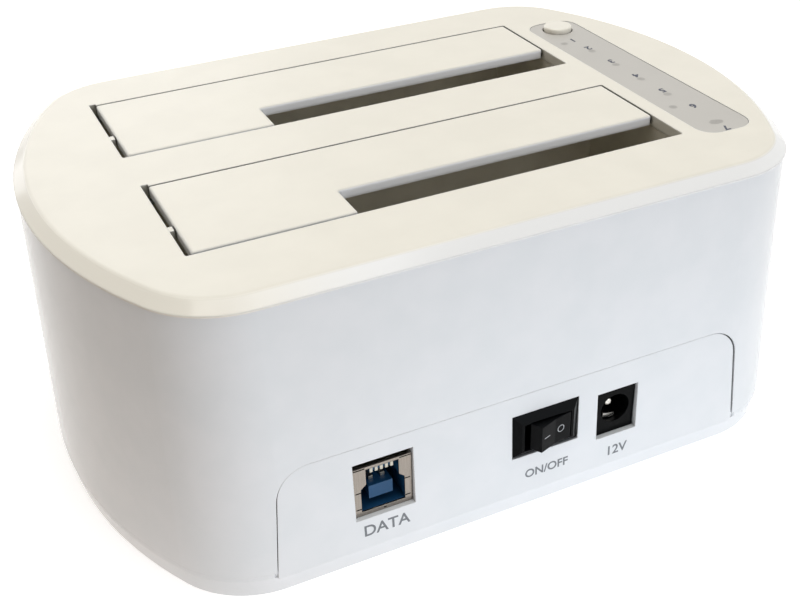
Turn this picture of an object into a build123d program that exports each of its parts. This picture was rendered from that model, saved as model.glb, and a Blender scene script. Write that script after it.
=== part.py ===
"""Hard drive docking station for two drives, modelled as separate pieces.

Sizes are in millimetres and angles in degrees. X runs along the length with the control strip
at the -X end, Y runs from the front to the rear with the sockets, and Z is up from the table.
Places are measured from the middle of the body's plan, unless a comment says otherwise.
"""
from build123d import *
import math
import os

# Body. Its length and depth follow from the slots and from what is left round them, measured at
# the foot of its wall.
strip_end_length = 32.05
rear_margin = 20.2
front_margin = 17.5
slot_bridge = 14.5
body_height = 65.4
corner_radius = 20.5
corner_end_inset = 29.9
wall_draft = 2.0
wall = 2.0
overrun = 1.0

# Base rim, floor and the lip that the shell sits over
foot_lift = 1.0
rim_height = 4.05
rim_step_height = 1.3
rim_inset = 0.3
rim_foot_inset = 0.85
rim_step_inset = 0.55
floor_thickness = 2.0
lip_wall = 1.4
lip_rise = 4.55
fit_ease = 0.1

# Top cover
cover_thickness = 2.4
cover_lip = 0.35
cover_slope_width = 2.6
cover_round = 1.6
cover_overhang = 0.3
skirt_wall = 1.4
skirt_depth = 5.0

# Drive slots, each as wide as a 3.5 inch drive and the flap that hangs beside it
slot_length = 103.6
slot_width = 29.4
small_drive_length = 71.0
small_drive_depth = 10.3
slot_corner = 0.5
hinge_notch_length = 1.4
hinge_notch_depth = 0.7

# Flaps
flap_thickness = 2.05
flap_far_gap = 0.25
flap_near_gap = 0.7
flap_plain_end_gap = 0.3
flap_hinge_end_gap = 1.3
flap_corner = 0.5
flap_edge_round = 0.4
hinge_drop = 4.2
hinge_setback = 1.5
pin_radius = 0.6
pin_running_gap = 0.05
barrel_radius = 1.4
hinge_arm_width = 10.0
hinge_arm_end_inset = 6.8
hinge_arm_wall = 2.0
cover_clearance = 0.45

# End nub that fills the gap beside the flap
nub_width = 1.8
nub_length = 1.0
nub_sink = 0.3

# Flap spring, wound round the hinge pin
spring_wire_radius = 0.175
spring_coil_radius = 0.95
spring_pitch = 0.8
spring_turns = 5
spring_arm_gap = 1.8
spring_leg_rise_angle = 25.0
spring_stub = 0.8
points_per_turn = 24
full_turn = 360.0
quarter_turn = full_turn / 4

# Drive cage hung below the cover
cage_wall = 1.6
cage_ease = 0.15
cage_back_space = 3.2
cage_floor_z = 19.0
cage_floor = 1.8
cage_web_length = 24.0
cage_web_height = 14.0
cage_tab_width = 8.0
cage_tab_reach = 6.5
cage_tab_thickness = 2.2
cage_tab_x_shares = (-0.40, 0.40)
cage_boss_drop = 4.0
cage_boss_radius = 3.0

# Screw columns between the cover and the base
column_end_inset = 18.7
column_cage_gap = 0.1
column_side_inset = 15.5
column_radius = 3.2
post_radius = 4.2
post_top_z = 12.0
post_seat_z = 7.0
screw_radius = 1.5
screw_head_radius = 2.75
screw_head_height = 1.9
screw_bite = 9.0
screw_slot_width = 0.7
small_screw_radius = 0.95
small_head_radius = 1.8
small_head_height = 1.2
small_screw_bite = 3.0
screw_ease = 0.03
hole_ease = 0.15

# Rubber feet
foot_radius = 6.0
foot_recess = 0.8
foot_end_inset = 35.7
foot_side_inset = 15.5
foot_edge_round = 0.4

# Main circuit board
board_top_z = 12.2
board_thickness = 1.6
board_strip_reach = 8.35
board_plain_inset = 0.95
board_front_inset = 23.5
board_rear_inset = 4.5
board_corner = 2.0
board_hole_inset = 4.0
standoff_radius = 3.0

# Drive sockets on the main board
socket_length = 42.5
socket_start = 4.9
socket_near_offset = 4.6
socket_base_width = 7.0
socket_blade_width = 5.0
socket_rise = 6.5
socket_side_step = 1.2
socket_data_length = 11.4
socket_power_length = 21.2
socket_key_gap = 3.6
socket_mouth_width = 1.9
socket_mouth_depth = 6.0
socket_contact_pitch = 1.27
socket_contact_width = 0.6
socket_contact_thickness = 0.3
socket_data_contacts = 7
socket_power_contacts = 15
socket_window_gap = 0.8

# Port panel, part of the base
panel_side_reach = 0.2
panel_mid_x = -0.3
panel_height = 22.75
panel_lean = 4.8
panel_corner = 6.5
panel_seam = 0.35
panel_top_seam = 0.05
panel_shift = 0.18
panel_backing = 0.4
panel_sink = 0.2

# Square data port
port_x = 29.35
port_open_width = 12.35
port_open_height = 13.3
port_shell_width = 12.05
port_shell_height = 11.5
port_shell_wall = 0.35
port_depth = 17.0
port_recess = 1.0
port_mouth_width = 9.05
port_mouth_neck_width = 6.8
port_mouth_foot = 0.9
port_mouth_shoulder = 6.4
port_mouth_slope = 1.0
port_mouth_top = 10.95
port_cavity_depth = 9.0
port_tongue_width = 4.95
port_tongue_height = 3.0
port_tongue_foot = 2.6
port_tongue_back = 1.2
port_bar_height = 1.1
port_bar_back = 0.6
port_contact_width = 0.6
port_contact_thickness = 0.25
port_contact_pitch = 2.4
port_spring_width = 0.85
port_spring_height = 0.8
port_spring_back = 3.0
port_fine_height = 0.7
port_fine_pitch = 1.05
port_fine_contacts = 5
port_plate_thickness = 0.35

# Power switch
switch_x = -5.6
switch_z = 19.4
switch_open_width = 15.1
switch_open_height = 10.3
switch_gap = 0.1
switch_recess = 0.3
switch_depth = 12.0
switch_pocket_length = 10.6
switch_pocket_height = 6.5
switch_rim_rise = 1.3
switch_rim_inset = 1.6
switch_pocket_depth = 6.4
rocker_half_length = 4.0
rocker_height = 6.1
rocker_rise = 1.2
rocker_notch = 0.3
rocker_flare = 0.75
rocker_flare_drop = 2.4
rocker_pivot_depth = 3.65
rocker_hub_radius = 1.5
rocker_tilt = 15.0
rocker_stub_radius = 0.9
rocker_stub_length = 0.9
terminal_width = 2.8
terminal_thickness = 0.8
terminal_length = 3.6
terminal_spread = 5.0
wire_radius = 0.7

# Direct current inlet
jack_x = -22.4
jack_open_width = 9.55
jack_open_height = 11.1
jack_width = 9.0
jack_height = 10.8
jack_depth = 14.0
jack_recess = 1.0
jack_mouth_radius = 3.35
jack_mouth_rise = 0.35
jack_bore_depth = 9.5
jack_pin_radius = 0.9
jack_pin_back = 2.2
jack_leaf_width = 2.8
jack_leaf_thickness = 0.35
jack_leaf_length = 7.8
jack_leaf_turn = 12.0
jack_leaf_curl = 0.45

# Control strip and what is under it
strip_width = 12.4
strip_slot_gap = 3.65
strip_front_inset = 21.4
strip_rear_inset = 17.2
strip_corner = 4.0
strip_thickness = 0.5
strip_sink = 0.08
strip_gap = 0.08
button_side_shift = 0.2
button_end_inset = 5.2
button_radius = 3.4
button_rise = 1.1
button_gap = 0.3
button_round = 0.45
button_flange = 1.0
button_flange_thickness = 1.0
button_stem_radius = 1.6
button_travel = 0.5
light_shift = 0.4
light_first_offset = 14.6
light_pitch = 9.85
light_count = 4
side_light_shift = 3.5
side_light_front_offset = 21.9
side_light_rear_offset = 21.2
light_radius = 0.9
power_light_end_inset = 4.6
power_light_length = 3.2
power_light_width = 2.1
light_gap = 0.4
indicator_drop = 9.0
indicator_thickness = 1.2
indicator_left_reach = 7.5
indicator_right_reach = 7.1
indicator_front_reach = 1.7
indicator_rear_inset = 2.5
indicator_screw_shift = 4.1
indicator_screw_front_offset = 19.1
indicator_screw_rear_offset = 24.9
indicator_boss_radius = 2.3
lamp_length = 2.0
lamp_width = 1.25
lamp_height = 0.8
tact_size = 6.0
tact_height = 3.5
plunger_radius = 1.6
plunger_gap = 0.3
plunger_depth = 1.3

# Ribbon cable between the two boards
header_slot_gap = 5.35
header_offset = 7.1
header_length = 10.0
header_width = 2.5
header_height = 3.4
ribbon_width = 8.0
ribbon_thickness = 0.9
ribbon_bow = 5.0

# Parts soldered to the main board
bridge_chip_size = 10.0
bridge_chip_height = 1.2
small_chip_length = 5.2
small_chip_width = 4.0
small_chip_height = 1.5
crystal_length = 11.0
crystal_width = 4.6
crystal_height = 3.5
filter_cap_radius = 2.5
filter_cap_height = 11.0
filter_cap_pitch = 7.0
filter_cap_count = 3
supply_cap_radius = 3.15
supply_cap_height = 11.5
supply_cap_pitch = 7.0
supply_cap_count = 2
inductor_size = 6.0
inductor_height = 3.2
inductor_corner = 1.5
inductor_pitch = 8.0
inductor_count = 2
cap_crimp_depth = 0.3
cap_crimp_height = 0.8

# Heights and places worked out from the sizes above
plain_end_length = cage_ease + cage_wall + column_cage_gap + column_radius + column_end_inset
body_length = strip_end_length + slot_length + plain_end_length
body_depth = rear_margin + 2 * slot_width + slot_bridge + front_margin
half_length = body_length / 2
shell_foot_z = foot_lift + rim_height + rim_step_height
seam_z = body_height - cover_thickness
floor_top_z = foot_lift + floor_thickness
board_bottom_z = board_top_z - board_thickness
half_depth = body_depth / 2
# The bowed end is the arc through the body's tip that runs smoothly into both corners
corner_reach = half_depth - corner_radius
end_radius = ((corner_end_inset ** 2 + corner_reach ** 2 - corner_radius ** 2)
              / (2 * (corner_end_inset - corner_radius)))
slot_low_x = strip_end_length - half_length
slot_high_x = slot_low_x + slot_length
slot_mid_x = slot_low_x + slot_length / 2
rear_slot_y = half_depth - rear_margin - slot_width / 2
front_slot_y = front_margin + slot_width / 2 - half_depth
hinge_z = body_height - hinge_drop
cage_bottom_z = cage_floor_z - cage_floor
small_drive_x = slot_low_x + small_drive_length
drive_slots = (("rear", rear_slot_y), ("front", front_slot_y))
column_spots = [(sx * (half_length - column_end_inset), sy * (half_depth - column_side_inset))
                for sx in (-1, 1) for sy in (-1, 1)]
foot_spots = [(sx * (half_length - foot_end_inset), sy * (half_depth - foot_side_inset))
              for sx in (-1, 1) for sy in (-1, 1)]
panel_width = slot_length + 2 * panel_side_reach
board_left_x = slot_low_x - board_strip_reach
board_right_x = slot_high_x - board_plain_inset
board_front_y = board_front_inset - half_depth
board_rear_y = half_depth - board_rear_inset

# Places on the control strip and of what lies under it
strip_x = slot_low_x - strip_slot_gap - strip_width / 2
strip_front_y = strip_front_inset - half_depth
strip_rear_y = half_depth - strip_rear_inset
strip_length = strip_rear_y - strip_front_y
strip_y = (strip_front_y + strip_rear_y) / 2
button_x = strip_x - button_side_shift
button_y = strip_front_y + button_end_inset
light_x = strip_x + light_shift
side_light_x = strip_x + side_light_shift
indicator_top_z = body_height - indicator_drop
indicator_screw_x = strip_x - indicator_screw_shift
header_x = slot_low_x - header_slot_gap
header_y = strip_y - header_offset


def wall_inset(height):
    """How far the leaning wall stands inside its foot at a height."""
    return (height - shell_foot_z) * math.tan(math.radians(wall_draft))


switch_face_y = half_depth - wall_inset(switch_z) - switch_recess
switch_rim_y = switch_face_y + switch_rim_rise
rocker_tip_y = (switch_rim_y - rocker_pivot_depth
                + rocker_half_length * math.sin(math.radians(rocker_tilt))
                + (rocker_pivot_depth + rocker_rise) * math.cos(math.radians(rocker_tilt)))
# The raised end of the rocker stands behind the body, so the body's middle is this far forward
# of the middle of the whole object.
body_mid_y = (half_depth - rocker_tip_y) / 2


def deck(height):
    """Level plane over the middle of the body."""
    return Plane(origin=(0, body_mid_y, height), x_dir=(1, 0, 0), z_dir=(0, 0, 1))


def across(place):
    """Upright plane across the body, drawn in X and height, that extrudes to the front."""
    return Plane(origin=(0, body_mid_y + place, 0), x_dir=(1, 0, 0), z_dir=(0, -1, 0))


def along(place):
    """Upright plane along the depth, drawn in Y and height, that extrudes to +X."""
    return Plane(origin=(place, body_mid_y, 0), x_dir=(0, 1, 0), z_dir=(1, 0, 0))


def body_outline(inset):
    """Plan of the body: bowed ends, straight sides and rounded corners, drawn inside its foot."""
    half_l = half_length - inset
    half_d = half_depth - inset
    end_r = end_radius - inset
    corner_r = corner_radius - inset
    end_x = half_l - end_r
    corner_y = corner_reach
    corner_x = half_length - corner_end_inset
    turn = math.atan2(corner_y, corner_x - end_x)
    join = (end_x + end_r * math.cos(turn), end_r * math.sin(turn))
    bend_turn = (turn + math.pi / 2) / 2
    bend = (corner_x + corner_r * math.cos(bend_turn), corner_y + corner_r * math.sin(bend_turn))
    with BuildSketch(mode=Mode.PRIVATE) as plan:
        with BuildLine():
            for s in (1, -1):
                side_start = (s * corner_x, s * half_d)
                side_end = (-s * corner_x, s * half_d)
                ThreePointArc((s * join[0], -s * join[1]), (s * half_l, 0), (s * join[0], s * join[1]))
                ThreePointArc((s * join[0], s * join[1]), (s * bend[0], s * bend[1]), side_start)
                Line(side_start, side_end)
                ThreePointArc(side_end, (-s * bend[0], s * bend[1]), (-s * join[0], s * join[1]))
        make_face()
    return plan.sketch


def panel_outline(grow, rise, foot_z, mid_x):
    """Outline of the port panel in X and height, wider than the panel by grow and higher by rise."""
    top_z = shell_foot_z + panel_height + rise
    foot_half = panel_width / 2 + grow + (shell_foot_z - foot_z) * math.tan(math.radians(panel_lean))
    top_half = panel_width / 2 + grow - (top_z - shell_foot_z) * math.tan(math.radians(panel_lean))
    with BuildSketch(mode=Mode.PRIVATE) as outline:
        with BuildLine():
            Polyline(
                (mid_x - foot_half, foot_z),
                (mid_x + foot_half, foot_z),
                (mid_x + top_half, top_z),
                (mid_x - top_half, top_z),
                close=True,
            )
        make_face()
        fillet(outline.vertices().group_by(Axis.Y)[-1], panel_corner + grow)
    return outline.sketch


def block(x_span, y_span, z_span, mode=Mode.ADD):
    """Adds or cuts a straight block between two X, two Y and two Z places."""
    with BuildSketch(deck(z_span[0])) as plan:
        with Locations(((x_span[0] + x_span[1]) / 2, (y_span[0] + y_span[1]) / 2)):
            Rectangle(x_span[1] - x_span[0], y_span[1] - y_span[0])
    extrude(plan.sketch, amount=z_span[1] - z_span[0], mode=mode)


def rods(spots, radius, z_span, mode=Mode.ADD):
    """Adds or cuts upright round rods of one size at several places."""
    with BuildSketch(deck(z_span[0])) as plan:
        with Locations(*spots):
            Circle(radius)
    extrude(plan.sketch, amount=z_span[1] - z_span[0], mode=mode)


def around(middle, size):
    """The two ends of a size that is centred on a middle."""
    return (middle - size / 2, middle + size / 2)


def slot_far(slot_y):
    """Front edge of a slot, where its flap is hinged."""
    return slot_y - slot_width / 2


def slot_near(slot_y):
    """Rear edge of a slot, against which the drives stand."""
    return slot_y + slot_width / 2


def pan_screws(spots, seat_z, shank_radius, head_radius, head_height, length):
    """Adds screws that are driven from below, with slotted round heads under their seats."""
    rods(spots, head_radius, (seat_z - head_height, seat_z))
    rods(spots, shank_radius, (seat_z, seat_z + length))
    with BuildSketch(deck(seat_z - head_height)) as plan:
        with Locations(*spots):
            Rectangle(2 * head_radius, screw_slot_width)
    extrude(plan.sketch, amount=head_height / 2, mode=Mode.SUBTRACT)


os.makedirs("parts", exist_ok=True)

# Side shell, open at top and bottom, with a notch at the rear for the port panel
shell_height = seam_z - shell_foot_z
with BuildPart() as body_shell:
    with BuildSketch(deck(shell_foot_z)):
        add(body_outline(0))
    extrude(amount=shell_height, taper=wall_draft)
    with BuildSketch(deck(shell_foot_z)):
        add(body_outline(wall))
    extrude(amount=shell_height, taper=wall_draft, mode=Mode.SUBTRACT)
    with BuildSketch(across(half_depth + overrun)):
        add(panel_outline(panel_seam, panel_top_seam, shell_foot_z - overrun, panel_mid_x - panel_shift))
    extrude(amount=2 * wall + 2 * overrun, mode=Mode.SUBTRACT)
body_shell.part.label = "body_shell"
export_step(body_shell.part, "parts/body_shell.step")

# The port panel leans with the shell's wall and is moulded in one with the base tray
panel_foot_z = foot_lift + rim_height - panel_sink
panel_rise = panel_height + shell_foot_z + overrun - panel_foot_z
with BuildPart() as port_panel:
    with BuildSketch(deck(panel_foot_z)):
        add(body_outline(wall_inset(panel_foot_z)))
    extrude(amount=panel_rise, taper=wall_draft)
    with BuildSketch(deck(panel_foot_z)):
        add(body_outline(wall_inset(panel_foot_z) + wall + panel_backing))
    extrude(amount=panel_rise, taper=wall_draft, mode=Mode.SUBTRACT)
    with BuildSketch(across(half_depth + overrun)):
        add(panel_outline(0, 0, panel_foot_z - overrun, panel_mid_x))
    extrude(amount=2 * wall + 2 * overrun, mode=Mode.INTERSECT)

# Base tray: stepped rim, floor, lip inside the shell, board standoffs and screw posts
lip_inset = wall + fit_ease
board_holes = [(x, y) for x in (board_left_x + board_hole_inset, board_right_x - board_hole_inset)
               for y in (board_front_y + board_hole_inset, board_rear_y - board_hole_inset)]
port_foot_z = board_top_z
switch_spans = (around(switch_x, switch_open_width), around(switch_z, switch_open_height))
jack_foot_z = board_top_z
opening_span = (half_depth - 2 * wall - overrun, half_depth + overrun)
with BuildPart() as base_tray:
    with BuildSketch(deck(foot_lift)):
        add(body_outline(rim_foot_inset))
    with BuildSketch(deck(foot_lift + rim_height)):
        add(body_outline(rim_inset))
    loft()
    with BuildSketch(deck(foot_lift + rim_height)):
        add(body_outline(rim_step_inset))
    extrude(amount=rim_step_height)
    with BuildSketch(deck(shell_foot_z)):
        add(body_outline(lip_inset))
    extrude(amount=lip_rise, taper=wall_draft)
    with BuildSketch(deck(floor_top_z)):
        add(body_outline(lip_inset + lip_wall))
    extrude(amount=shell_foot_z + lip_rise - floor_top_z, mode=Mode.SUBTRACT)
    add(port_panel.part)
    rods(board_holes, standoff_radius, (floor_top_z, board_bottom_z))
    rods(board_holes, small_screw_radius + screw_ease, (board_bottom_z - small_screw_bite, board_bottom_z),
         mode=Mode.SUBTRACT)
    rods(column_spots, post_radius, (floor_top_z, post_top_z))
    rods(column_spots, screw_radius + hole_ease, (foot_lift, post_top_z), mode=Mode.SUBTRACT)
    rods(column_spots, screw_head_radius + hole_ease, (foot_lift, post_seat_z), mode=Mode.SUBTRACT)
    rods(foot_spots, foot_radius, (foot_lift, foot_lift + foot_recess), mode=Mode.SUBTRACT)
    block(around(port_x, port_open_width), opening_span,
          (port_foot_z - fit_ease, port_foot_z - fit_ease + port_open_height), mode=Mode.SUBTRACT)
    block(switch_spans[0], opening_span, switch_spans[1], mode=Mode.SUBTRACT)
    block(around(jack_x, jack_open_width), opening_span,
          (jack_foot_z - fit_ease, jack_foot_z - fit_ease + jack_open_height), mode=Mode.SUBTRACT)
base_tray.part.label = "base_tray"
export_step(base_tray.part, "parts/base_tray.step")

# Where the lights shine through the cover and the strip
round_lights = [(light_x, strip_y - light_first_offset + k * light_pitch) for k in range(light_count)]
round_lights += [(side_light_x, strip_y - side_light_front_offset),
                 (side_light_x, strip_y + side_light_rear_offset)]
power_light = (light_x, strip_rear_y - power_light_end_inset)
strip_top_z = body_height - strip_sink
strip_floor_z = strip_top_z - strip_thickness
cage_boss_z = seam_z - cage_boss_drop
cage_rear_y = slot_near(rear_slot_y) + cage_ease + cage_wall
cage_front_y = slot_far(front_slot_y) - cage_back_space - cage_wall
cage_holes = [(slot_mid_x + share * slot_length, y)
              for share in cage_tab_x_shares
              for y in (cage_rear_y + cage_tab_reach / 2, cage_front_y - cage_tab_reach / 2)]
indicator_holes = [(indicator_screw_x, strip_y - indicator_screw_front_offset),
                   (indicator_screw_x, strip_y + indicator_screw_rear_offset)]
cover_inset = wall_inset(seam_z) - cover_overhang
cover_slope = math.degrees(math.atan2(cover_slope_width, cover_thickness - cover_lip))
skirt_inset = wall_inset(seam_z) + wall + fit_ease


def power_light_face(grow):
    """Long round-ended face of the power light, larger by grow all round."""
    with BuildSketch(mode=Mode.PRIVATE) as face:
        with Locations(power_light):
            Ellipse(power_light_length / 2 + grow, power_light_width / 2 + grow)
    return face.sketch


def strip_face(grow):
    """Outline of the control strip, larger by grow all round."""
    with BuildSketch(mode=Mode.PRIVATE) as face:
        with Locations((strip_x, strip_y)):
            RectangleRounded(strip_width + 2 * grow, strip_length + 2 * grow, strip_corner + grow)
    return face.sketch


# Top cover: rounded plate with two drive slots, a skirt inside the shell and the screw columns
with BuildPart() as top_cover:
    with BuildSketch(deck(seam_z)):
        add(body_outline(cover_inset))
    extrude(amount=cover_lip)
    with BuildSketch(deck(seam_z + cover_lip)):
        add(body_outline(cover_inset))
    extrude(amount=cover_thickness - cover_lip, taper=cover_slope)
    fillet(top_cover.edges().group_by(Axis.Z)[-1], cover_round)
    with BuildSketch(deck(seam_z - skirt_depth)):
        add(body_outline(skirt_inset))
        add(body_outline(skirt_inset + skirt_wall), mode=Mode.SUBTRACT)
    extrude(amount=skirt_depth)
    for _, slot_y in drive_slots:
        with BuildSketch(deck(seam_z)):
            with Locations((slot_mid_x, slot_y)):
                RectangleRounded(slot_length, slot_width, slot_corner)
            with Locations((slot_high_x - hinge_notch_length / 2, slot_far(slot_y))):
                Rectangle(hinge_notch_length, 2 * hinge_notch_depth)
        extrude(amount=cover_thickness, mode=Mode.SUBTRACT)
    for _, slot_y in drive_slots:
        nub_y = slot_near(slot_y) - small_drive_depth - nub_width / 2
        block((slot_high_x - nub_length, slot_high_x + overrun), around(nub_y, nub_width),
              (seam_z, body_height - nub_sink))
        pin_y = slot_far(slot_y) - hinge_setback
        for end_x in (slot_low_x - cage_ease - cage_wall, slot_high_x + cage_ease):
            block((end_x, end_x + cage_wall), around(pin_y, 2 * pin_radius), (hinge_z + pin_radius, seam_z))
    with BuildSketch(deck(strip_floor_z)):
        add(strip_face(strip_gap))
    extrude(amount=strip_thickness + strip_sink + overrun, mode=Mode.SUBTRACT)
    rods([(button_x, button_y)], button_radius + button_gap, (seam_z, body_height), mode=Mode.SUBTRACT)
    rods(round_lights, light_radius, (seam_z, body_height), mode=Mode.SUBTRACT)
    with BuildSketch(deck(seam_z)):
        add(power_light_face(0))
    extrude(amount=cover_thickness, mode=Mode.SUBTRACT)
    rods(column_spots, column_radius, (post_top_z, seam_z))
    rods(column_spots, screw_radius + screw_ease, (post_top_z, post_top_z + screw_bite + overrun),
         mode=Mode.SUBTRACT)
    rods(cage_holes, cage_boss_radius, (cage_boss_z, seam_z))
    rods(cage_holes, small_screw_radius + screw_ease, (cage_boss_z, cage_boss_z + small_screw_bite),
         mode=Mode.SUBTRACT)
    rods(indicator_holes, indicator_boss_radius, (indicator_top_z, seam_z))
    rods(indicator_holes, small_screw_radius + screw_ease,
         (indicator_top_z, indicator_top_z + small_screw_bite), mode=Mode.SUBTRACT)
top_cover.part.label = "top_cover"
export_step(top_cover.part, "parts/top_cover.step")

# Drive cage: two deep wells in one moulding, with sockets coming up through their floors
well_x = (slot_low_x - cage_ease, slot_high_x + cage_ease)
socket_x = (slot_low_x + socket_start, slot_low_x + socket_start + socket_length)
cage_tab_z = (cage_boss_z - cage_tab_thickness, cage_boss_z)
with BuildPart() as drive_cage:
    for _, slot_y in drive_slots:
        block((well_x[0] - cage_wall, well_x[1] + cage_wall),
              (slot_far(slot_y) - cage_back_space - cage_wall, slot_near(slot_y) + cage_ease + cage_wall),
              (cage_bottom_z, seam_z))
    block(around(slot_mid_x, cage_web_length), (front_slot_y, rear_slot_y),
          (cage_bottom_z, cage_bottom_z + cage_web_height))
    for hole_x, hole_y in cage_holes:
        inner_y = cage_rear_y - cage_wall / 2 if hole_y > 0 else cage_front_y + cage_wall / 2
        outer_y = cage_rear_y + cage_tab_reach if hole_y > 0 else cage_front_y - cage_tab_reach
        block(around(hole_x, cage_tab_width), (min(inner_y, outer_y), max(inner_y, outer_y)), cage_tab_z)
    for _, slot_y in drive_slots:
        block(well_x, (slot_far(slot_y) - cage_back_space, slot_near(slot_y) + cage_ease),
              (cage_floor_z, seam_z), mode=Mode.SUBTRACT)
        socket_y = slot_near(slot_y) - socket_near_offset
        block((socket_x[0] - socket_window_gap, socket_x[1] + socket_window_gap),
              around(socket_y, socket_base_width + 2 * socket_window_gap),
              (cage_bottom_z, cage_floor_z), mode=Mode.SUBTRACT)
        pin_y = slot_far(slot_y) - hinge_setback
        block((well_x[0] - cage_wall, well_x[1] + cage_wall),
              around(pin_y, 2 * (pin_radius + screw_ease)), (hinge_z, seam_z), mode=Mode.SUBTRACT)
        with BuildSketch(along(well_x[0] - cage_wall)):
            with Locations((pin_y, hinge_z)):
                Circle(pin_radius + screw_ease)
        extrude(amount=well_x[1] - well_x[0] + 2 * cage_wall, mode=Mode.SUBTRACT)
    rods(cage_holes, small_screw_radius + hole_ease, cage_tab_z, mode=Mode.SUBTRACT)
drive_cage.part.label = "drive_cage"
export_step(drive_cage.part, "parts/drive_cage.step")

# Flaps, their hinge pins and their springs, one set for each slot
flap_x = (slot_low_x + flap_plain_end_gap, slot_high_x - flap_hinge_end_gap)
arm_spread = slot_length / 2 - hinge_arm_end_inset - hinge_arm_width / 2
arm_places = [slot_mid_x + k * arm_spread for k in (-1, 0, 1)]
spring_high_x = arm_places[2] - hinge_arm_width / 2 - spring_arm_gap
for side, slot_y in drive_slots:
    flap_far_y = slot_far(slot_y) + flap_far_gap
    flap_near_y = slot_near(slot_y) - flap_near_gap
    step_y = slot_near(slot_y) - small_drive_depth
    pin_y = slot_far(slot_y) - hinge_setback
    with BuildPart() as flap:
        with BuildSketch(deck(body_height - flap_thickness)) as plate:
            with BuildLine():
                Polyline(
                    (flap_x[0], flap_far_y),
                    (flap_x[1], flap_far_y),
                    (flap_x[1], flap_near_y),
                    (small_drive_x, flap_near_y),
                    (small_drive_x, step_y),
                    (flap_x[0], step_y),
                    close=True,
                )
            make_face()
            fillet(plate.vertices(), flap_corner)
        extrude(amount=flap_thickness)
        fillet(flap.edges().group_by(Axis.Z)[-1], flap_edge_round)
        for arm_x in arm_places:
            with BuildSketch(along(arm_x - hinge_arm_width / 2)):
                with BuildLine():
                    Polyline(
                        (flap_far_y + cover_clearance, body_height - flap_edge_round),
                        (flap_far_y + cover_clearance + hinge_arm_wall, body_height - flap_thickness / 2),
                        (flap_far_y + cover_clearance + hinge_arm_wall, hinge_z),
                        (pin_y, hinge_z - barrel_radius),
                        (pin_y, seam_z - cover_clearance),
                        (flap_far_y + cover_clearance, seam_z - cover_clearance),
                        close=True,
                    )
                make_face()
                with Locations((pin_y, hinge_z)):
                    Circle(barrel_radius)
            extrude(amount=hinge_arm_width)
        with BuildSketch(along(flap_x[0])):
            with Locations((pin_y, hinge_z)):
                Circle(pin_radius + pin_running_gap)
        extrude(amount=flap_x[1] - flap_x[0], mode=Mode.SUBTRACT)
    flap.part.label = side + "_flap"
    export_step(flap.part, "parts/" + side + "_flap.step")

    with BuildPart() as hinge_pin:
        with BuildSketch(along(well_x[0] - cage_wall)):
            with Locations((pin_y, hinge_z)):
                Circle(pin_radius)
        extrude(amount=well_x[1] - well_x[0] + 2 * cage_wall)
    hinge_pin.part.label = side + "_hinge_pin"
    export_step(hinge_pin.part, "parts/" + side + "_hinge_pin.step")

    # The coil leaves one leg under the flap and a short one at its other end
    coil_turns = spring_turns + (spring_leg_rise_angle - quarter_turn) / full_turn
    coil_low_x = spring_high_x - spring_pitch * coil_turns
    coil_plane = Plane(origin=(coil_low_x, body_mid_y + pin_y, hinge_z), x_dir=(0, 1, 0), z_dir=(1, 0, 0))
    coil = coil_plane * Helix(spring_pitch, spring_pitch * coil_turns, spring_coil_radius)
    coil_steps = spring_turns * points_per_turn
    coil_points = [coil @ (k / coil_steps) for k in range(coil_steps + 1)]
    spans = [(a - b).length for k, a in enumerate(coil_points)
             for b in coil_points[k + points_per_turn // 2:]]
    print(side, "spring, least gap between its turns", round(min(spans) - 2 * spring_wire_radius, 2))
    leg_end_z = body_height - flap_thickness - spring_wire_radius - screw_ease
    leg_length = (leg_end_z - (coil @ 1).Z) / (coil % 1).Z
    with BuildPart() as spring:
        with BuildLine() as wire:
            Line(coil @ 0 - (coil % 0) * spring_stub, coil @ 0)
            add(coil)
            Line(coil @ 1, coil @ 1 + (coil % 1) * leg_length)
        with BuildSketch(Plane(origin=coil @ 0 - (coil % 0) * spring_stub, z_dir=coil % 0)):
            Circle(spring_wire_radius)
        sweep(path=wire.wires()[0], is_frenet=True)
    spring.part.label = side + "_flap_spring"
    export_step(spring.part, "parts/" + side + "_flap_spring.step")

# Control strip, a thin plate let into the cover
with BuildPart() as control_strip:
    with BuildSketch(deck(strip_floor_z)):
        add(strip_face(0))
    extrude(amount=strip_thickness)
    rods([(button_x, button_y)], button_radius + button_gap, (strip_floor_z, strip_top_z), mode=Mode.SUBTRACT)
    rods(round_lights, light_radius, (strip_floor_z, strip_top_z), mode=Mode.SUBTRACT)
    with BuildSketch(deck(strip_floor_z)):
        add(power_light_face(0))
    extrude(amount=strip_thickness, mode=Mode.SUBTRACT)
control_strip.part.label = "control_strip"
export_step(control_strip.part, "parts/control_strip.step")

# Light pipes that stand over the lamps and end flush with the strip
pipe_foot_z = indicator_top_z + lamp_height + light_gap
with BuildPart() as light_pipes:
    rods(round_lights, light_radius, (pipe_foot_z, strip_top_z))
    with BuildSketch(deck(pipe_foot_z)):
        add(power_light_face(0))
    extrude(amount=strip_top_z - pipe_foot_z)
light_pipes.part.label = "light_pipes"
export_step(light_pipes.part, "parts/light_pipes.step")

# Push button: round cap with a flange below the cover and a stem on the plunger
button_spot = [(button_x, button_y)]
flange_top_z = seam_z - button_gap
tact_top_z = indicator_top_z + tact_height
stem_foot_z = tact_top_z + plunger_depth
with BuildPart() as clone_button:
    rods(button_spot, button_radius, (flange_top_z - button_flange_thickness, body_height + button_rise))
    fillet(clone_button.edges().group_by(Axis.Z)[-1], button_round)
    rods(button_spot, button_radius + button_flange, (flange_top_z - button_flange_thickness, flange_top_z))
    rods(button_spot, button_stem_radius, (stem_foot_z, flange_top_z))
clone_button.part.label = "clone_button"
export_step(clone_button.part, "parts/clone_button.step")

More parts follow.
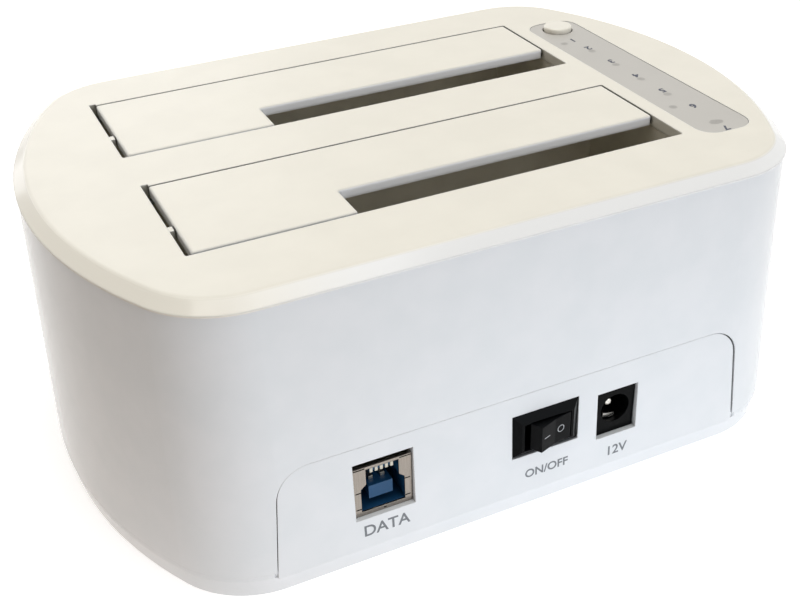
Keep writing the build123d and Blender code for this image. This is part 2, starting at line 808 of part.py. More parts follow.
# Push switch under the button: square body and the plunger that the stem presses
plunger_foot_z = stem_foot_z - plunger_depth - 2 * button_travel
tact_pocket_z = plunger_foot_z - 2 * button_travel
with BuildPart() as tact_plunger:
    rods(button_spot, plunger_radius, (plunger_foot_z, stem_foot_z))
tact_plunger.part.label = "tact_plunger"
export_step(tact_plunger.part, "parts/tact_plunger.step")

with BuildPart() as tact_switch:
    block(around(button_x, tact_size), around(button_y, tact_size), (indicator_top_z, tact_top_z))
    rods(button_spot, plunger_radius + plunger_gap, (tact_pocket_z, tact_top_z), mode=Mode.SUBTRACT)
tact_switch.part.label = "tact_switch"
export_step(tact_switch.part, "parts/tact_switch.step")

# Lamps on the indicator board, one under each light pipe
with BuildPart() as indicator_lamps:
    with BuildSketch(deck(indicator_top_z)):
        with Locations(*round_lights, power_light):
            Rectangle(lamp_length, lamp_width)
    extrude(amount=lamp_height)
indicator_lamps.part.label = "indicator_lamps"
export_step(indicator_lamps.part, "parts/indicator_lamps.step")

# Indicator board, screwed under the cover's two bosses
indicator_foot_z = indicator_top_z - indicator_thickness
with BuildPart() as indicator_board:
    block((strip_x - indicator_left_reach, strip_x + indicator_right_reach),
          (strip_front_y - indicator_front_reach, strip_rear_y - indicator_rear_inset),
          (indicator_foot_z, indicator_top_z))
    rods(indicator_holes, small_screw_radius + hole_ease, (indicator_foot_z, indicator_top_z),
         mode=Mode.SUBTRACT)
indicator_board.part.label = "indicator_board"
export_step(indicator_board.part, "parts/indicator_board.step")

# Ribbon cable with a bow in it, between a header on each board
low_header_z = (board_top_z, board_top_z + header_height)
high_header_z = (indicator_foot_z - header_height, indicator_foot_z)
with BuildPart() as ribbon_headers:
    for header_z in (low_header_z, high_header_z):
        block(around(header_x, header_width), around(header_y, header_length), header_z)
ribbon_headers.part.label = "ribbon_headers"
export_step(ribbon_headers.part, "parts/ribbon_headers.step")

ribbon_rise = high_header_z[0] - low_header_z[1]
ribbon_straight_share = 0.15
ribbon_bend_share = 0.35
ribbon_radius = ribbon_rise * ribbon_bend_share
ribbon_plane = Plane(origin=(0, body_mid_y + header_y, 0), x_dir=(1, 0, 0), z_dir=(0, -1, 0))
with BuildPart() as ribbon_cable:
    with BuildLine(ribbon_plane) as ribbon_path:
        FilletPolyline(
            (header_x, low_header_z[1]),
            (header_x, low_header_z[1] + ribbon_rise * ribbon_straight_share),
            (header_x - ribbon_bow, low_header_z[1] + ribbon_rise / 2),
            (header_x, high_header_z[0] - ribbon_rise * ribbon_straight_share),
            (header_x, high_header_z[0]),
            radius=ribbon_radius,
        )
    with BuildSketch(deck(low_header_z[1])):
        with Locations((header_x, header_y)):
            Rectangle(ribbon_thickness, ribbon_width)
    sweep(path=ribbon_path.wires()[0])
ribbon_cable.part.label = "ribbon_cable"
export_step(ribbon_cable.part, "parts/ribbon_cable.step")

# Main circuit board on the base's standoffs
with BuildPart() as main_board:
    with BuildSketch(deck(board_bottom_z)) as board_face:
        with Locations(((board_left_x + board_right_x) / 2, (board_front_y + board_rear_y) / 2)):
            RectangleRounded(board_right_x - board_left_x, board_rear_y - board_front_y, board_corner)
        with Locations(*board_holes):
            Circle(small_screw_radius + hole_ease, mode=Mode.SUBTRACT)
    extrude(amount=board_thickness)
main_board.part.label = "main_board"
export_step(main_board.part, "parts/main_board.step")

# Drive sockets: a wide foot on the board and a narrower head that stands up in the well
socket_step_z = cage_bottom_z - socket_window_gap
socket_top_z = cage_floor_z + socket_rise
data_low_x = socket_x[0] + socket_side_step + socket_key_gap / 2
data_x = (data_low_x, data_low_x + socket_data_length)
power_x = (data_x[1] + socket_key_gap, data_x[1] + socket_key_gap + socket_power_length)
mouth_z = (socket_top_z - socket_mouth_depth, socket_top_z)
for side, slot_y in drive_slots:
    socket_y = slot_near(slot_y) - socket_near_offset
    with BuildPart() as drive_socket:
        block(socket_x, around(socket_y, socket_base_width), (board_top_z, socket_step_z))
        block((socket_x[0] + socket_side_step, socket_x[1] - socket_side_step),
              around(socket_y, socket_blade_width), (socket_step_z, socket_top_z))
        for mouth_x in (data_x, power_x):
            block(mouth_x, around(socket_y, socket_mouth_width), mouth_z, mode=Mode.SUBTRACT)
    drive_socket.part.label = side + "_drive_socket"
    export_step(drive_socket.part, "parts/" + side + "_drive_socket.step")

    contact_y = socket_y + socket_mouth_width / 2
    with BuildPart() as drive_contacts:
        for mouth_x, count in ((data_x, socket_data_contacts), (power_x, socket_power_contacts)):
            mouth_middle = (mouth_x[0] + mouth_x[1]) / 2
            for k in range(count):
                place = mouth_middle + (k - (count - 1) / 2) * socket_contact_pitch
                block(around(place, socket_contact_width), (contact_y - socket_contact_thickness, contact_y),
                      (mouth_z[0], mouth_z[1] - socket_contact_width))
    drive_contacts.part.label = side + "_drive_contacts"
    export_step(drive_contacts.part, "parts/" + side + "_drive_contacts.step")

# Square data port: folded metal shell, blue insulator with a stepped mouth, and its contacts
port_face_y = half_depth - wall_inset(port_foot_z) - port_recess
port_back_y = port_face_y - port_depth
port_inner = port_shell_width - 2 * port_shell_wall
port_shell_z = (port_foot_z, port_foot_z + port_shell_height)
port_block_z = (port_shell_z[0] + port_shell_wall, port_shell_z[1] - port_shell_wall)


def port_mouth_face():
    """Mouth of the square data port: a wide lower part with sloping shoulders and a narrow upper part."""
    half_wide = port_mouth_width / 2
    half_neck = port_mouth_neck_width / 2
    foot_z = port_foot_z + port_mouth_foot
    shoulder_z = port_foot_z + port_mouth_shoulder
    with BuildSketch(mode=Mode.PRIVATE) as face:
        with BuildLine():
            Polyline(
                (port_x - half_wide, foot_z),
                (port_x + half_wide, foot_z),
                (port_x + half_wide, shoulder_z),
                (port_x + half_neck, shoulder_z + port_mouth_slope),
                (port_x + half_neck, port_foot_z + port_mouth_top),
                (port_x - half_neck, port_foot_z + port_mouth_top),
                (port_x - half_neck, shoulder_z + port_mouth_slope),
                (port_x - half_wide, shoulder_z),
                close=True,
            )
        make_face()
    return face.sketch


with BuildPart() as port_shell:
    block(around(port_x, port_shell_width), (port_back_y, port_face_y), port_shell_z)
    block(around(port_x, port_inner), (port_back_y - overrun, port_face_y - port_plate_thickness),
          port_block_z, mode=Mode.SUBTRACT)
    with BuildSketch(across(port_face_y + overrun)):
        add(port_mouth_face())
    extrude(amount=port_plate_thickness + 2 * overrun, mode=Mode.SUBTRACT)
port_shell.part.label = "port_shell"
export_step(port_shell.part, "parts/port_shell.step")

port_block_face_y = port_face_y - port_plate_thickness - screw_ease
port_cavity_back_y = port_face_y - port_cavity_depth
tongue_z = (port_foot_z + port_tongue_foot, port_foot_z + port_tongue_foot + port_tongue_height)
bar_z = (port_foot_z + port_mouth_top - port_bar_height, port_foot_z + port_mouth_top)
with BuildPart() as port_insulator:
    block(around(port_x, port_inner - 2 * screw_ease), (port_back_y, port_block_face_y),
          (port_block_z[0] + screw_ease, port_block_z[1] - screw_ease))
    with BuildSketch(across(port_face_y + overrun)):
        add(port_mouth_face())
    extrude(amount=port_cavity_depth + overrun, mode=Mode.SUBTRACT)
    tongue_x = around(port_x, port_tongue_width)
    block(tongue_x, (port_cavity_back_y - overrun, port_face_y - port_tongue_back), tongue_z)
    block(tongue_x, (port_cavity_back_y - overrun, port_face_y - port_bar_back), bar_z)
port_insulator.part.label = "port_insulator"
export_step(port_insulator.part, "parts/port_insulator.step")

with BuildPart() as port_contacts:
    for k in (-1, 1):
        contact_x = port_x + k * port_contact_pitch / 2
        block(around(contact_x, port_spring_width), (port_cavity_back_y, port_face_y - port_spring_back),
              (tongue_z[1], tongue_z[1] + port_spring_height))
        block(around(contact_x, port_contact_width),
              (port_cavity_back_y, port_face_y - port_tongue_back - port_contact_thickness),
              (tongue_z[0] - port_contact_thickness, tongue_z[0]))
    for k in range(port_fine_contacts):
        contact_x = around(port_x + (k - (port_fine_contacts - 1) / 2) * port_fine_pitch, port_contact_width)
        block(contact_x, (port_cavity_back_y, port_face_y - port_bar_back),
              (bar_z[0] - port_contact_thickness, bar_z[0]))
        block(contact_x, (port_face_y - port_bar_back, port_face_y - port_bar_back + port_contact_thickness),
              (bar_z[0] - port_contact_thickness, bar_z[0] + port_fine_height))
port_contacts.part.label = "port_contacts"
export_step(port_contacts.part, "parts/port_contacts.step")

# Direct current inlet: black block with a round mouth, its pin and its leaf contact
jack_face_y = half_depth - wall_inset(jack_foot_z) - jack_recess
jack_mid_z = jack_foot_z + jack_height / 2 + jack_mouth_rise
with BuildPart() as jack_body:
    block(around(jack_x, jack_width), (jack_face_y - jack_depth, jack_face_y),
          (jack_foot_z, jack_foot_z + jack_height))
    with BuildSketch(across(jack_face_y + overrun)):
        with Locations((jack_x, jack_mid_z)):
            Circle(jack_mouth_radius)
    extrude(amount=jack_bore_depth + overrun, mode=Mode.SUBTRACT)
jack_body.part.label = "jack_body"
export_step(jack_body.part, "parts/jack_body.step")

with BuildPart() as jack_pin:
    with BuildSketch(across(jack_face_y - jack_pin_back)):
        with Locations((jack_x, jack_mid_z)):
            Circle(jack_pin_radius)
    extrude(amount=jack_bore_depth - jack_pin_back)
    fillet(jack_pin.edges().group_by(Axis.Y)[-1], jack_pin_radius / 2)
jack_pin.part.label = "jack_pin"
export_step(jack_pin.part, "parts/jack_pin.step")

leaf_inset = math.sqrt((jack_mouth_radius - screw_ease) ** 2 - (jack_leaf_width / 2) ** 2)
leaf_plane = Plane(
    origin=(jack_x, body_mid_y + jack_face_y - jack_bore_depth, jack_mid_z),
    x_dir=(math.cos(math.radians(jack_leaf_turn)), 0, math.sin(math.radians(jack_leaf_turn))),
    z_dir=(0, 1, 0),
)
with BuildPart() as jack_leaf:
    with BuildSketch(leaf_plane):
        with Locations((0, leaf_inset - jack_leaf_thickness / 2)):
            Rectangle(jack_leaf_width, jack_leaf_thickness)
    extrude(amount=jack_leaf_length)
    with BuildSketch(leaf_plane.offset(jack_leaf_length)):
        with Locations((0, leaf_inset - jack_leaf_curl)):
            Rectangle(jack_leaf_width, 2 * jack_leaf_curl)
    extrude(amount=jack_leaf_thickness)
jack_leaf.part.label = "jack_leaf"
export_step(jack_leaf.part, "parts/jack_leaf.step")

# Power switch: housing with an open pocket, a rocker on two stubs, terminals and their wires
switch_half_width = switch_open_width / 2 - switch_gap
switch_half_height = switch_open_height / 2 - switch_gap
rocker_pivot_y = switch_rim_y - rocker_pivot_depth
with BuildPart() as switch_housing:
    block((switch_x - switch_half_width, switch_x + switch_half_width),
          (switch_face_y - switch_depth, switch_face_y),
          (switch_z - switch_half_height, switch_z + switch_half_height))
    with BuildSketch(Plane(origin=(switch_x, body_mid_y + switch_face_y, switch_z), x_dir=(-1, 0, 0),
                           z_dir=(0, 1, 0))):
        Rectangle(2 * switch_half_width, 2 * switch_half_height)
    extrude(amount=switch_rim_rise, taper=math.degrees(math.atan2(switch_rim_inset, switch_rim_rise)))
    block(around(switch_x, switch_pocket_length), (switch_face_y - switch_pocket_depth, switch_rim_y),
          around(switch_z, switch_pocket_height), mode=Mode.SUBTRACT)
    with BuildSketch(deck(switch_z - rocker_height / 2 - rocker_stub_length - pin_running_gap)):
        with Locations((switch_x, rocker_pivot_y)):
            Circle(rocker_stub_radius + pin_running_gap)
    extrude(amount=rocker_height + 2 * (rocker_stub_length + pin_running_gap), mode=Mode.SUBTRACT)
switch_housing.part.label = "switch_housing"
export_step(switch_housing.part, "parts/switch_housing.step")

rocker_plane = Plane(
    origin=(switch_x, body_mid_y + rocker_pivot_y, switch_z - rocker_height / 2),
    x_dir=(math.cos(math.radians(rocker_tilt)), math.sin(math.radians(rocker_tilt)), 0),
    z_dir=(0, 0, 1),
)
with BuildPart() as switch_rocker:
    with BuildSketch(rocker_plane):
        with BuildLine():
            Polyline(
                (-rocker_half_length, rocker_pivot_depth + rocker_rise),
                (0, rocker_pivot_depth + rocker_rise - rocker_notch),
                (rocker_half_length, rocker_pivot_depth + rocker_rise),
                (rocker_half_length + rocker_flare, rocker_pivot_depth + rocker_rise - rocker_flare_drop),
                (rocker_hub_radius, -rocker_hub_radius / 2),
                (-rocker_hub_radius, -rocker_hub_radius / 2),
                (-rocker_half_length - rocker_flare, rocker_pivot_depth + rocker_rise - rocker_flare_drop),
                close=True,
            )
        make_face()
    extrude(amount=rocker_height)
    with BuildSketch(rocker_plane.offset(-rocker_stub_length)):
        Circle(rocker_stub_radius)
    extrude(amount=rocker_height + 2 * rocker_stub_length)
switch_rocker.part.label = "switch_rocker"
export_step(switch_rocker.part, "parts/switch_rocker.step")

switch_back_y = switch_face_y - switch_depth
terminal_places = [switch_x - terminal_spread / 2, switch_x + terminal_spread / 2]
with BuildPart() as switch_terminals:
    for place in terminal_places:
        block(around(place, terminal_width), (switch_back_y - terminal_length, switch_back_y),
              around(switch_z, terminal_thickness))
switch_terminals.part.label = "switch_terminals"
export_step(switch_terminals.part, "parts/switch_terminals.step")

with BuildPart() as switch_wires:
    rods([(place, switch_back_y - terminal_length / 2) for place in terminal_places], wire_radius,
         (board_top_z, switch_z - terminal_thickness / 2))
switch_wires.part.label = "switch_wires"
export_step(switch_wires.part, "parts/switch_wires.step")

# Chips and other parts soldered to the main board, placed by shares of the board
board_length = board_right_x - board_left_x
board_width = board_rear_y - board_front_y


def on_board(length_share, width_share):
    """Place on the board at shares of its length and width from its left front corner."""
    return (board_left_x + length_share * board_length, board_front_y + width_share * board_width)


bridge_chip_shares = (0.66, 0.46)
small_chip_shares = ((0.80, 0.30), (0.80, 0.56))
crystal_shares = (0.64, 0.66)
with BuildPart() as bridge_chip:
    with BuildSketch(deck(board_top_z)):
        with Locations(on_board(*bridge_chip_shares)):
            Rectangle(bridge_chip_size, bridge_chip_size)
    extrude(amount=bridge_chip_height)
bridge_chip.part.label = "bridge_chip"
export_step(bridge_chip.part, "parts/bridge_chip.step")

with BuildPart() as memory_chips:
    with BuildSketch(deck(board_top_z)):
        with Locations(*[on_board(*shares) for shares in small_chip_shares]):
            Rectangle(small_chip_length, small_chip_width)
    extrude(amount=small_chip_height)
memory_chips.part.label = "memory_chips"
export_step(memory_chips.part, "parts/memory_chips.step")

with BuildPart() as crystal:
    with BuildSketch(deck(board_top_z)):
        with Locations(on_board(*crystal_shares)):
            SlotOverall(crystal_length, crystal_width)
    extrude(amount=crystal_height)
crystal.part.label = "crystal"
export_step(crystal.part, "parts/crystal.step")

# Capacitors beside the drive cage and behind it, each with a crimp round its foot
filter_caps = [(header_x, header_y + header_length + k * filter_cap_pitch) for k in range(filter_cap_count)]
supply_y = (slot_near(rear_slot_y) + cage_ease + cage_wall + board_rear_y) / 2
supply_first_x = jack_x - jack_width / 2 - supply_cap_pitch
supply_caps = [(supply_first_x - k * supply_cap_pitch, supply_y) for k in range(supply_cap_count)]
inductor_mid_x = (port_x - port_shell_width / 2 + switch_x + switch_half_width) / 2
inductor_places = [(inductor_mid_x + (k - (inductor_count - 1) / 2) * inductor_pitch, supply_y)
                   for k in range(inductor_count)]
with BuildPart() as capacitors:
    for spots, radius, height in ((filter_caps, filter_cap_radius, filter_cap_height),
                                  (supply_caps, supply_cap_radius, supply_cap_height)):
        rods(spots, radius, (board_top_z, board_top_z + height))
        with BuildSketch(deck(board_top_z + 2 * cap_crimp_height)) as crimp:
            with Locations(*spots):
                Circle(radius)
                Circle(radius - cap_crimp_depth, mode=Mode.SUBTRACT)
        extrude(crimp.sketch, amount=cap_crimp_height, mode=Mode.SUBTRACT)
capacitors.part.label = "capacitors"
export_step(capacitors.part, "parts/capacitors.step")

with BuildPart() as inductors:
    with BuildSketch(deck(board_top_z)):
        with Locations(*inductor_places):
            RectangleRounded(inductor_size, inductor_size, inductor_corner)
    extrude(amount=inductor_height)
inductors.part.label = "inductors"
export_step(inductors.part, "parts/inductors.step")

# Fasteners, one node for each place they serve
with BuildPart() as base_screws:
    pan_screws(column_spots, post_seat_z, screw_radius, screw_head_radius, screw_head_height,
               post_top_z - post_seat_z + screw_bite)
base_screws.part.label = "base_screws"
export_step(base_screws.part, "parts/base_screws.step")

with BuildPart() as cage_screws:
    pan_screws(cage_holes, cage_tab_z[0], small_screw_radius, small_head_radius, small_head_height,
               cage_tab_thickness + small_screw_bite - fit_ease)
cage_screws.part.label = "cage_screws"
export_step(cage_screws.part, "parts/cage_screws.step")

with BuildPart() as indicator_screws:
    pan_screws(indicator_holes, indicator_foot_z, small_screw_radius, small_head_radius, small_head_height,
               indicator_thickness + small_screw_bite - fit_ease)
indicator_screws.part.label = "indicator_screws"
export_step(indicator_screws.part, "parts/indicator_screws.step")

with BuildPart() as board_screws:
    rods(board_holes, small_head_radius, (board_top_z, board_top_z + small_head_height))
    rods(board_holes, small_screw_radius, (board_bottom_z - small_screw_bite + fit_ease, board_top_z))
    with BuildSketch(deck(board_top_z + small_head_height)) as driver_slots:
        with Locations(*board_holes):
            Rectangle(2 * small_head_radius, screw_slot_width)
    extrude(driver_slots.sketch, amount=-small_head_height / 2, mode=Mode.SUBTRACT)
board_screws.part.label = "board_screws"
export_step(board_screws.part, "parts/board_screws.step")

# Rubber feet in shallow recesses under the base
with BuildPart() as rubber_feet:
    rods(foot_spots, foot_radius - fit_ease, (0, foot_lift + foot_recess))
    fillet(rubber_feet.edges().group_by(Axis.Z)[0], foot_edge_round)
rubber_feet.part.label = "rubber_feet"
export_step(rubber_feet.part, "parts/rubber_feet.step")
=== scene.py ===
"""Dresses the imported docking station: finishes, printed marks, moulding detail, studio and camera."""

import logging
import math
from dataclasses import dataclass
from enum import Enum

import bmesh
import bpy
from mathutils import Matrix, Vector


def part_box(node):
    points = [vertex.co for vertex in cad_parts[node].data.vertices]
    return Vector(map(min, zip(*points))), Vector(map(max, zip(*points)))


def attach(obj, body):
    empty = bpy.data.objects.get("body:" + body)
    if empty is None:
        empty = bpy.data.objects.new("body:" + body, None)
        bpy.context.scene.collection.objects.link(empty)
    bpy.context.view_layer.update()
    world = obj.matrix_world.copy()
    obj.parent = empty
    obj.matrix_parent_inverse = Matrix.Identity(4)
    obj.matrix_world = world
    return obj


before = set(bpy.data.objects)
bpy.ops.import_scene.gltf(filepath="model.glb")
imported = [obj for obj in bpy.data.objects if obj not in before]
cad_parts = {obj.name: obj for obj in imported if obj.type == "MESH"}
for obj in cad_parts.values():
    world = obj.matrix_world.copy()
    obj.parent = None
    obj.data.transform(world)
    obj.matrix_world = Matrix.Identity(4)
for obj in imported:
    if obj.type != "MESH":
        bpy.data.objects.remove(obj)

LOG = logging.getLogger("docking_station")
MM = 0.001
# Rays with which a shader looks for a near edge and for the other side of a gap
EDGE_SAMPLES = 4
GAP_SAMPLES = 6
# A wave pattern of scale 1 repeats at this distance
WAVE_PERIOD = math.pi / 10
# How far the middle of an ink film stands off its surface, so that the film lies just clear of it
INK_LIFT_MM = 0.012
# Full white, for light that has no tint
WHITE = "FFFFFF"


class Gloss(Enum):
    """How smooth the mould or the plating left a surface, as a shader roughness."""

    POLISHED = 0.13
    SMOOTH = 0.24
    SATIN = 0.40
    MATT = 0.58
    DULL = 0.75


class Streak(Enum):
    """The way the marks of drawing or rolling run, as scales along x, y and z, small where they are long."""

    NONE = (1.0, 1.0, 1.0)
    ALONG_X = (0.04, 1.0, 1.0)
    ALONG_Z = (1.0, 1.0, 0.04)


def linear(code: str) -> tuple[float, float, float, float]:
    """Turns an sRGB hex colour to linear light.

    Args:
        code: six hex digits, such as "EDEAE0"
    Returns:
        red, green, blue and a full alpha
    """
    parts = [int(code[i:i + 2], 16) / 255 for i in (0, 2, 4)]
    lit = [p / 12.92 if p <= 0.04045 else ((p + 0.055) / 1.055) ** 2.4 for p in parts]
    return (lit[0], lit[1], lit[2], 1.0)


def mottled(code: str, dark_share: float, span: tuple[float, float] = (0.3, 0.7)) -> list[tuple]:
    """The stops by which a pattern darkens a colour in places.

    Args:
        code: six hex digits of the colour
        dark_share: the share of its light that the darkest places keep
        span: the pattern's values at which the colour is darkest and full
    Returns:
        two stops for a colour ramp, each a value of the pattern and a linear colour
    """
    full = linear(code)
    deep = tuple(dark_share * part for part in full[:3]) + (1.0,)
    return [(span[0], deep), (span[1], full)]


def per_metre(size_mm: float) -> float:
    """The texture scale at which one feature of a pattern is this many millimetres wide."""
    return 1.0 / (size_mm * MM)


def add_node(tree: bpy.types.NodeTree, kind: str, settings: dict | None = None,
             links: dict | None = None) -> bpy.types.Node:
    """Adds one shader node with its settings and with the sockets that feed it.

    Args:
        tree: the node tree that takes the node
        kind: the node's class, such as "ShaderNodeBump"
        settings: values by socket name or number, by property, or "stops" for a colour ramp
        links: the sockets that feed it, by its own socket's name or number
    Returns:
        the new node
    """
    node = tree.nodes.new(kind)
    for key, value in (settings or {}).items():
        if key == "stops":
            ramp = node.color_ramp
            while len(ramp.elements) < len(value):
                ramp.elements.new(1.0)
            for stop, (place, colour) in zip(ramp.elements, value):
                stop.position = place
                stop.color = colour
        elif isinstance(key, int) or key in node.inputs:
            node.inputs[key].default_value = value
        else:
            setattr(node, key, value)
    for key, source in (links or {}).items():
        tree.links.new(source, node.inputs[key])
    return node


@dataclass(frozen=True)
class Finish:
    """A surface finish. Its kinds say what the real material is and how it was made.

    Attributes:
        name: the material's name in the scene
    """

    name: str

    def material(self) -> bpy.types.Material:
        """Builds the material once and gives it back.

        Returns:
            the material of this finish
        """
        known = bpy.data.materials.get(self.name)
        if known:
            return known
        made = bpy.data.materials.new(self.name)
        made.use_nodes = True
        tree = made.node_tree
        tree.nodes.clear()
        place = add_node(tree, "ShaderNodeTexCoord").outputs["Object"]
        shader = self.shader(tree, place)
        add_node(tree, "ShaderNodeOutputMaterial", links={"Surface": shader.outputs[0]})
        return made

    def shader(self, tree: bpy.types.NodeTree, place: bpy.types.NodeSocket) -> bpy.types.Node:
        """Builds the shader of this finish.

        Args:
            tree: the material's node tree
            place: the surface point in the frame, in metres
        Returns:
            the node whose first output is the shader
        """
        raise NotImplementedError


@dataclass(frozen=True)
class MouldedPlastic(Finish):
    """Injection moulded ABS or similar: a smooth skin with a faint unevenness and rounded edges, a painted
    highlight on the edges and painted shade in the gaps.

    Attributes:
        colour: the plastic's colour
        shade: the slightly different colour that its flow lines turn to
        gloss: how smooth the mould was
        grain_mm: width of one grain of the mould's texture
        grain_depth_mm: depth of that texture
        sink_mm: width of the broad, very shallow waves that the skin shows in a reflection
        sink_depth_mm: depth of those waves
        edge_mm: the radius to which edges look rounded
        edge_highlight_colour: the colour of the painted highlight on the edges
        gap_mm: how far away the other side of a gap may be that still darkens it with painted shade
        gap_span: the openness at which the painted shade of a gap is darkest, and that from which the colour
            is unchanged
        gap_shade: how dark the painted shade inside a gap is, from 0 for black to 1 for unchanged
        gap_heights_mm: the heights between which gaps get painted shade, or None for all of them
        shine: specular level, 0.5 for clean ABS and less for a dye that swallows light
        ior: refractive index, 1.53 for ABS
        flow_mm: width of one flow line
        flow_span: the values of the flow pattern at which the colour is all shade and all colour
        highlight_span: how far a rounded normal agrees with the flat one where the painted highlight starts
            and is full
        highlight_most: the share of the painted highlight's colour where it is full
        gap_fade_mm: the height over which the painted shade of gaps fades out above and below their heights
        wipe_mm: width of one mark of wiping
        wipe_range: the least and the most that wiping scales the roughness by
    """

    colour: str = "ECEEF0"
    shade: str = "E6E9EC"
    gloss: Gloss = Gloss.SMOOTH
    grain_mm: float = 0.5
    grain_depth_mm: float = 0.0012
    sink_mm: float = 26.0
    sink_depth_mm: float = 0.012
    edge_mm: float = 0.25
    edge_highlight_colour: str = "F4F5F6"
    gap_mm: float = 1.2
    gap_span: tuple[float, float] = (0.08, 0.42)
    gap_shade: float = 0.10
    gap_heights_mm: tuple[float, float] | None = None
    shine: float = 0.5
    ior: float = 1.53
    flow_mm: float = 9.0
    flow_span: tuple[float, float] = (0.35, 0.65)
    highlight_span: tuple[float, float] = (0.97, 0.80)
    highlight_most: float = 0.8
    gap_fade_mm: float = 3.0
    wipe_mm: float = 14.0
    wipe_range: tuple[float, float] = (0.88, 1.14)

    def shader(self, tree: bpy.types.NodeTree, place: bpy.types.NodeSocket) -> bpy.types.Node:
        """Builds flow-line colour, grain and sink waves over rounded edges, with a painted highlight on the
        edges and painted shade in gaps.

        Args:
            tree: the material's node tree
            place: the surface point
        Returns:
            the node whose first output is the shader
        """
        flow = add_node(tree, "ShaderNodeTexNoise", {"Scale": per_metre(self.flow_mm), "Detail": 3.0},
                        {"Vector": place})
        tone = add_node(tree, "ShaderNodeValToRGB",
                        {"stops": [(self.flow_span[0], linear(self.shade)),
                                   (self.flow_span[1], linear(self.colour))]},
                        {"Fac": flow.outputs["Fac"]})
        edge = add_node(tree, "ShaderNodeBevel", {"samples": EDGE_SAMPLES, "Radius": self.edge_mm * MM})
        skin = self.skin(tree, place, edge.outputs["Normal"])
        flat = add_node(tree, "ShaderNodeNewGeometry")
        turn = add_node(tree, "ShaderNodeVectorMath", {"operation": "DOT_PRODUCT"},
                        {0: edge.outputs["Normal"], 1: flat.outputs["Normal"]})
        # Painted highlight: where the rounded normal turns away from the flat one, the colour passes toward
        # the paler edge colour
        highlight_share = add_node(tree, "ShaderNodeMapRange",
                          {"From Min": self.highlight_span[0], "From Max": self.highlight_span[1],
                           "To Min": 0.0, "To Max": self.highlight_most},
                          {"Value": turn.outputs["Value"]})
        colour = add_node(tree, "ShaderNodeMix", {"data_type": "RGBA", 7: linear(self.edge_highlight_colour)},
                          {0: highlight_share.outputs["Result"], 6: self.zoned(tree, place, tone.outputs["Color"])})
        return add_node(tree, "ShaderNodeBsdfPrincipled",
                        {"IOR": self.ior, "Specular IOR Level": self.shine},
                        {"Base Color": self.painted_gap_shade(tree, place, colour.outputs[2]),
                         "Normal": skin.outputs["Normal"],
                         "Roughness": self.roughness(tree, place)})

    def painted_gap_shade(self, tree: bpy.types.NodeTree, place: bpy.types.NodeSocket,
                 tone: bpy.types.NodeSocket) -> bpy.types.NodeSocket:
        """Darkens the colour inside narrow gaps: painted shade, darkest where a gap is most closed in.

        Args:
            tree: the material's node tree
            place: the surface point
            tone: the colour in the open
        Returns:
            the socket that holds the colour
        """
        # Painted shade: the less open to the room a spot inside a gap is, the darker its colour
        depth = add_node(tree, "ShaderNodeAmbientOcclusion",
                         {"samples": GAP_SAMPLES, "Distance": self.gap_mm * MM})
        open_share = add_node(tree, "ShaderNodeMapRange",
                              {"From Min": self.gap_span[0], "From Max": self.gap_span[1],
                               "To Min": self.gap_shade, "To Max": 1.0},
                              {"Value": depth.outputs["AO"]})
        shade = open_share.outputs["Result"]
        if self.gap_heights_mm:
            height = add_node(tree, "ShaderNodeSeparateXYZ", links={"Vector": place}).outputs["Z"]
            for level, way in zip(self.gap_heights_mm, (-1, 1)):
                closed = add_node(tree, "ShaderNodeMapRange",
                                  {"From Min": level * MM,
                                   "From Max": (level + way * self.gap_fade_mm) * MM},
                                  {"Value": height})
                shade = add_node(tree, "ShaderNodeMath", {"operation": "MAXIMUM"},
                                 {0: shade, 1: closed.outputs["Result"]}).outputs[0]
        return add_node(tree, "ShaderNodeVectorMath", {"operation": "SCALE"},
                        {0: tone, "Scale": shade}).outputs["Vector"]

    def skin(self, tree: bpy.types.NodeTree, place: bpy.types.NodeSocket,
             edge: bpy.types.NodeSocket) -> bpy.types.Node:
        """Builds the relief: sink waves, then grain, on the rounded edges.

        Args:
            tree: the material's node tree
            place: the surface point
            edge: the normal with its edges rounded
        Returns:
            the last bump node
        """
        wave = add_node(tree, "ShaderNodeTexNoise", {"Scale": per_metre(self.sink_mm), "Detail": 1.0},
                        {"Vector": place})
        broad = add_node(tree, "ShaderNodeBump", {"Distance": self.sink_depth_mm * MM, "Strength": 1.0},
                         {"Height": wave.outputs["Fac"], "Normal": edge})
        grain = add_node(tree, "ShaderNodeTexNoise",
                         {"Scale": per_metre(self.grain_mm), "Detail": 2.0, "Roughness": 0.6},
                         {"Vector": place})
        return add_node(tree, "ShaderNodeBump", {"Distance": self.grain_depth_mm * MM, "Strength": 1.0},
                        {"Height": grain.outputs["Fac"], "Normal": broad.outputs["Normal"]})

    def zoned(self, tree: bpy.types.NodeTree, place: bpy.types.NodeSocket,
              tone: bpy.types.NodeSocket) -> bpy.types.NodeSocket:
        """The colour by zone, which is the same all over unless a kind says otherwise."""
        return tone

    def roughness(self, tree: bpy.types.NodeTree, place: bpy.types.NodeSocket) -> bpy.types.NodeSocket:
        """Roughness that differs a little where hands and wiping have been.

        Args:
            tree: the material's node tree
            place: the surface point
        Returns:
            the socket that holds the roughness
        """
        wipe = add_node(tree, "ShaderNodeTexNoise", {"Scale": per_metre(self.wipe_mm), "Detail": 4.0},
                        {"Vector": place})
        return add_node(tree, "ShaderNodeMapRange",
                        {"To Min": self.gloss.value * self.wipe_range[0],
                         "To Max": self.gloss.value * self.wipe_range[1]},
                        {"Value": wipe.outputs["Fac"]}).outputs["Result"]


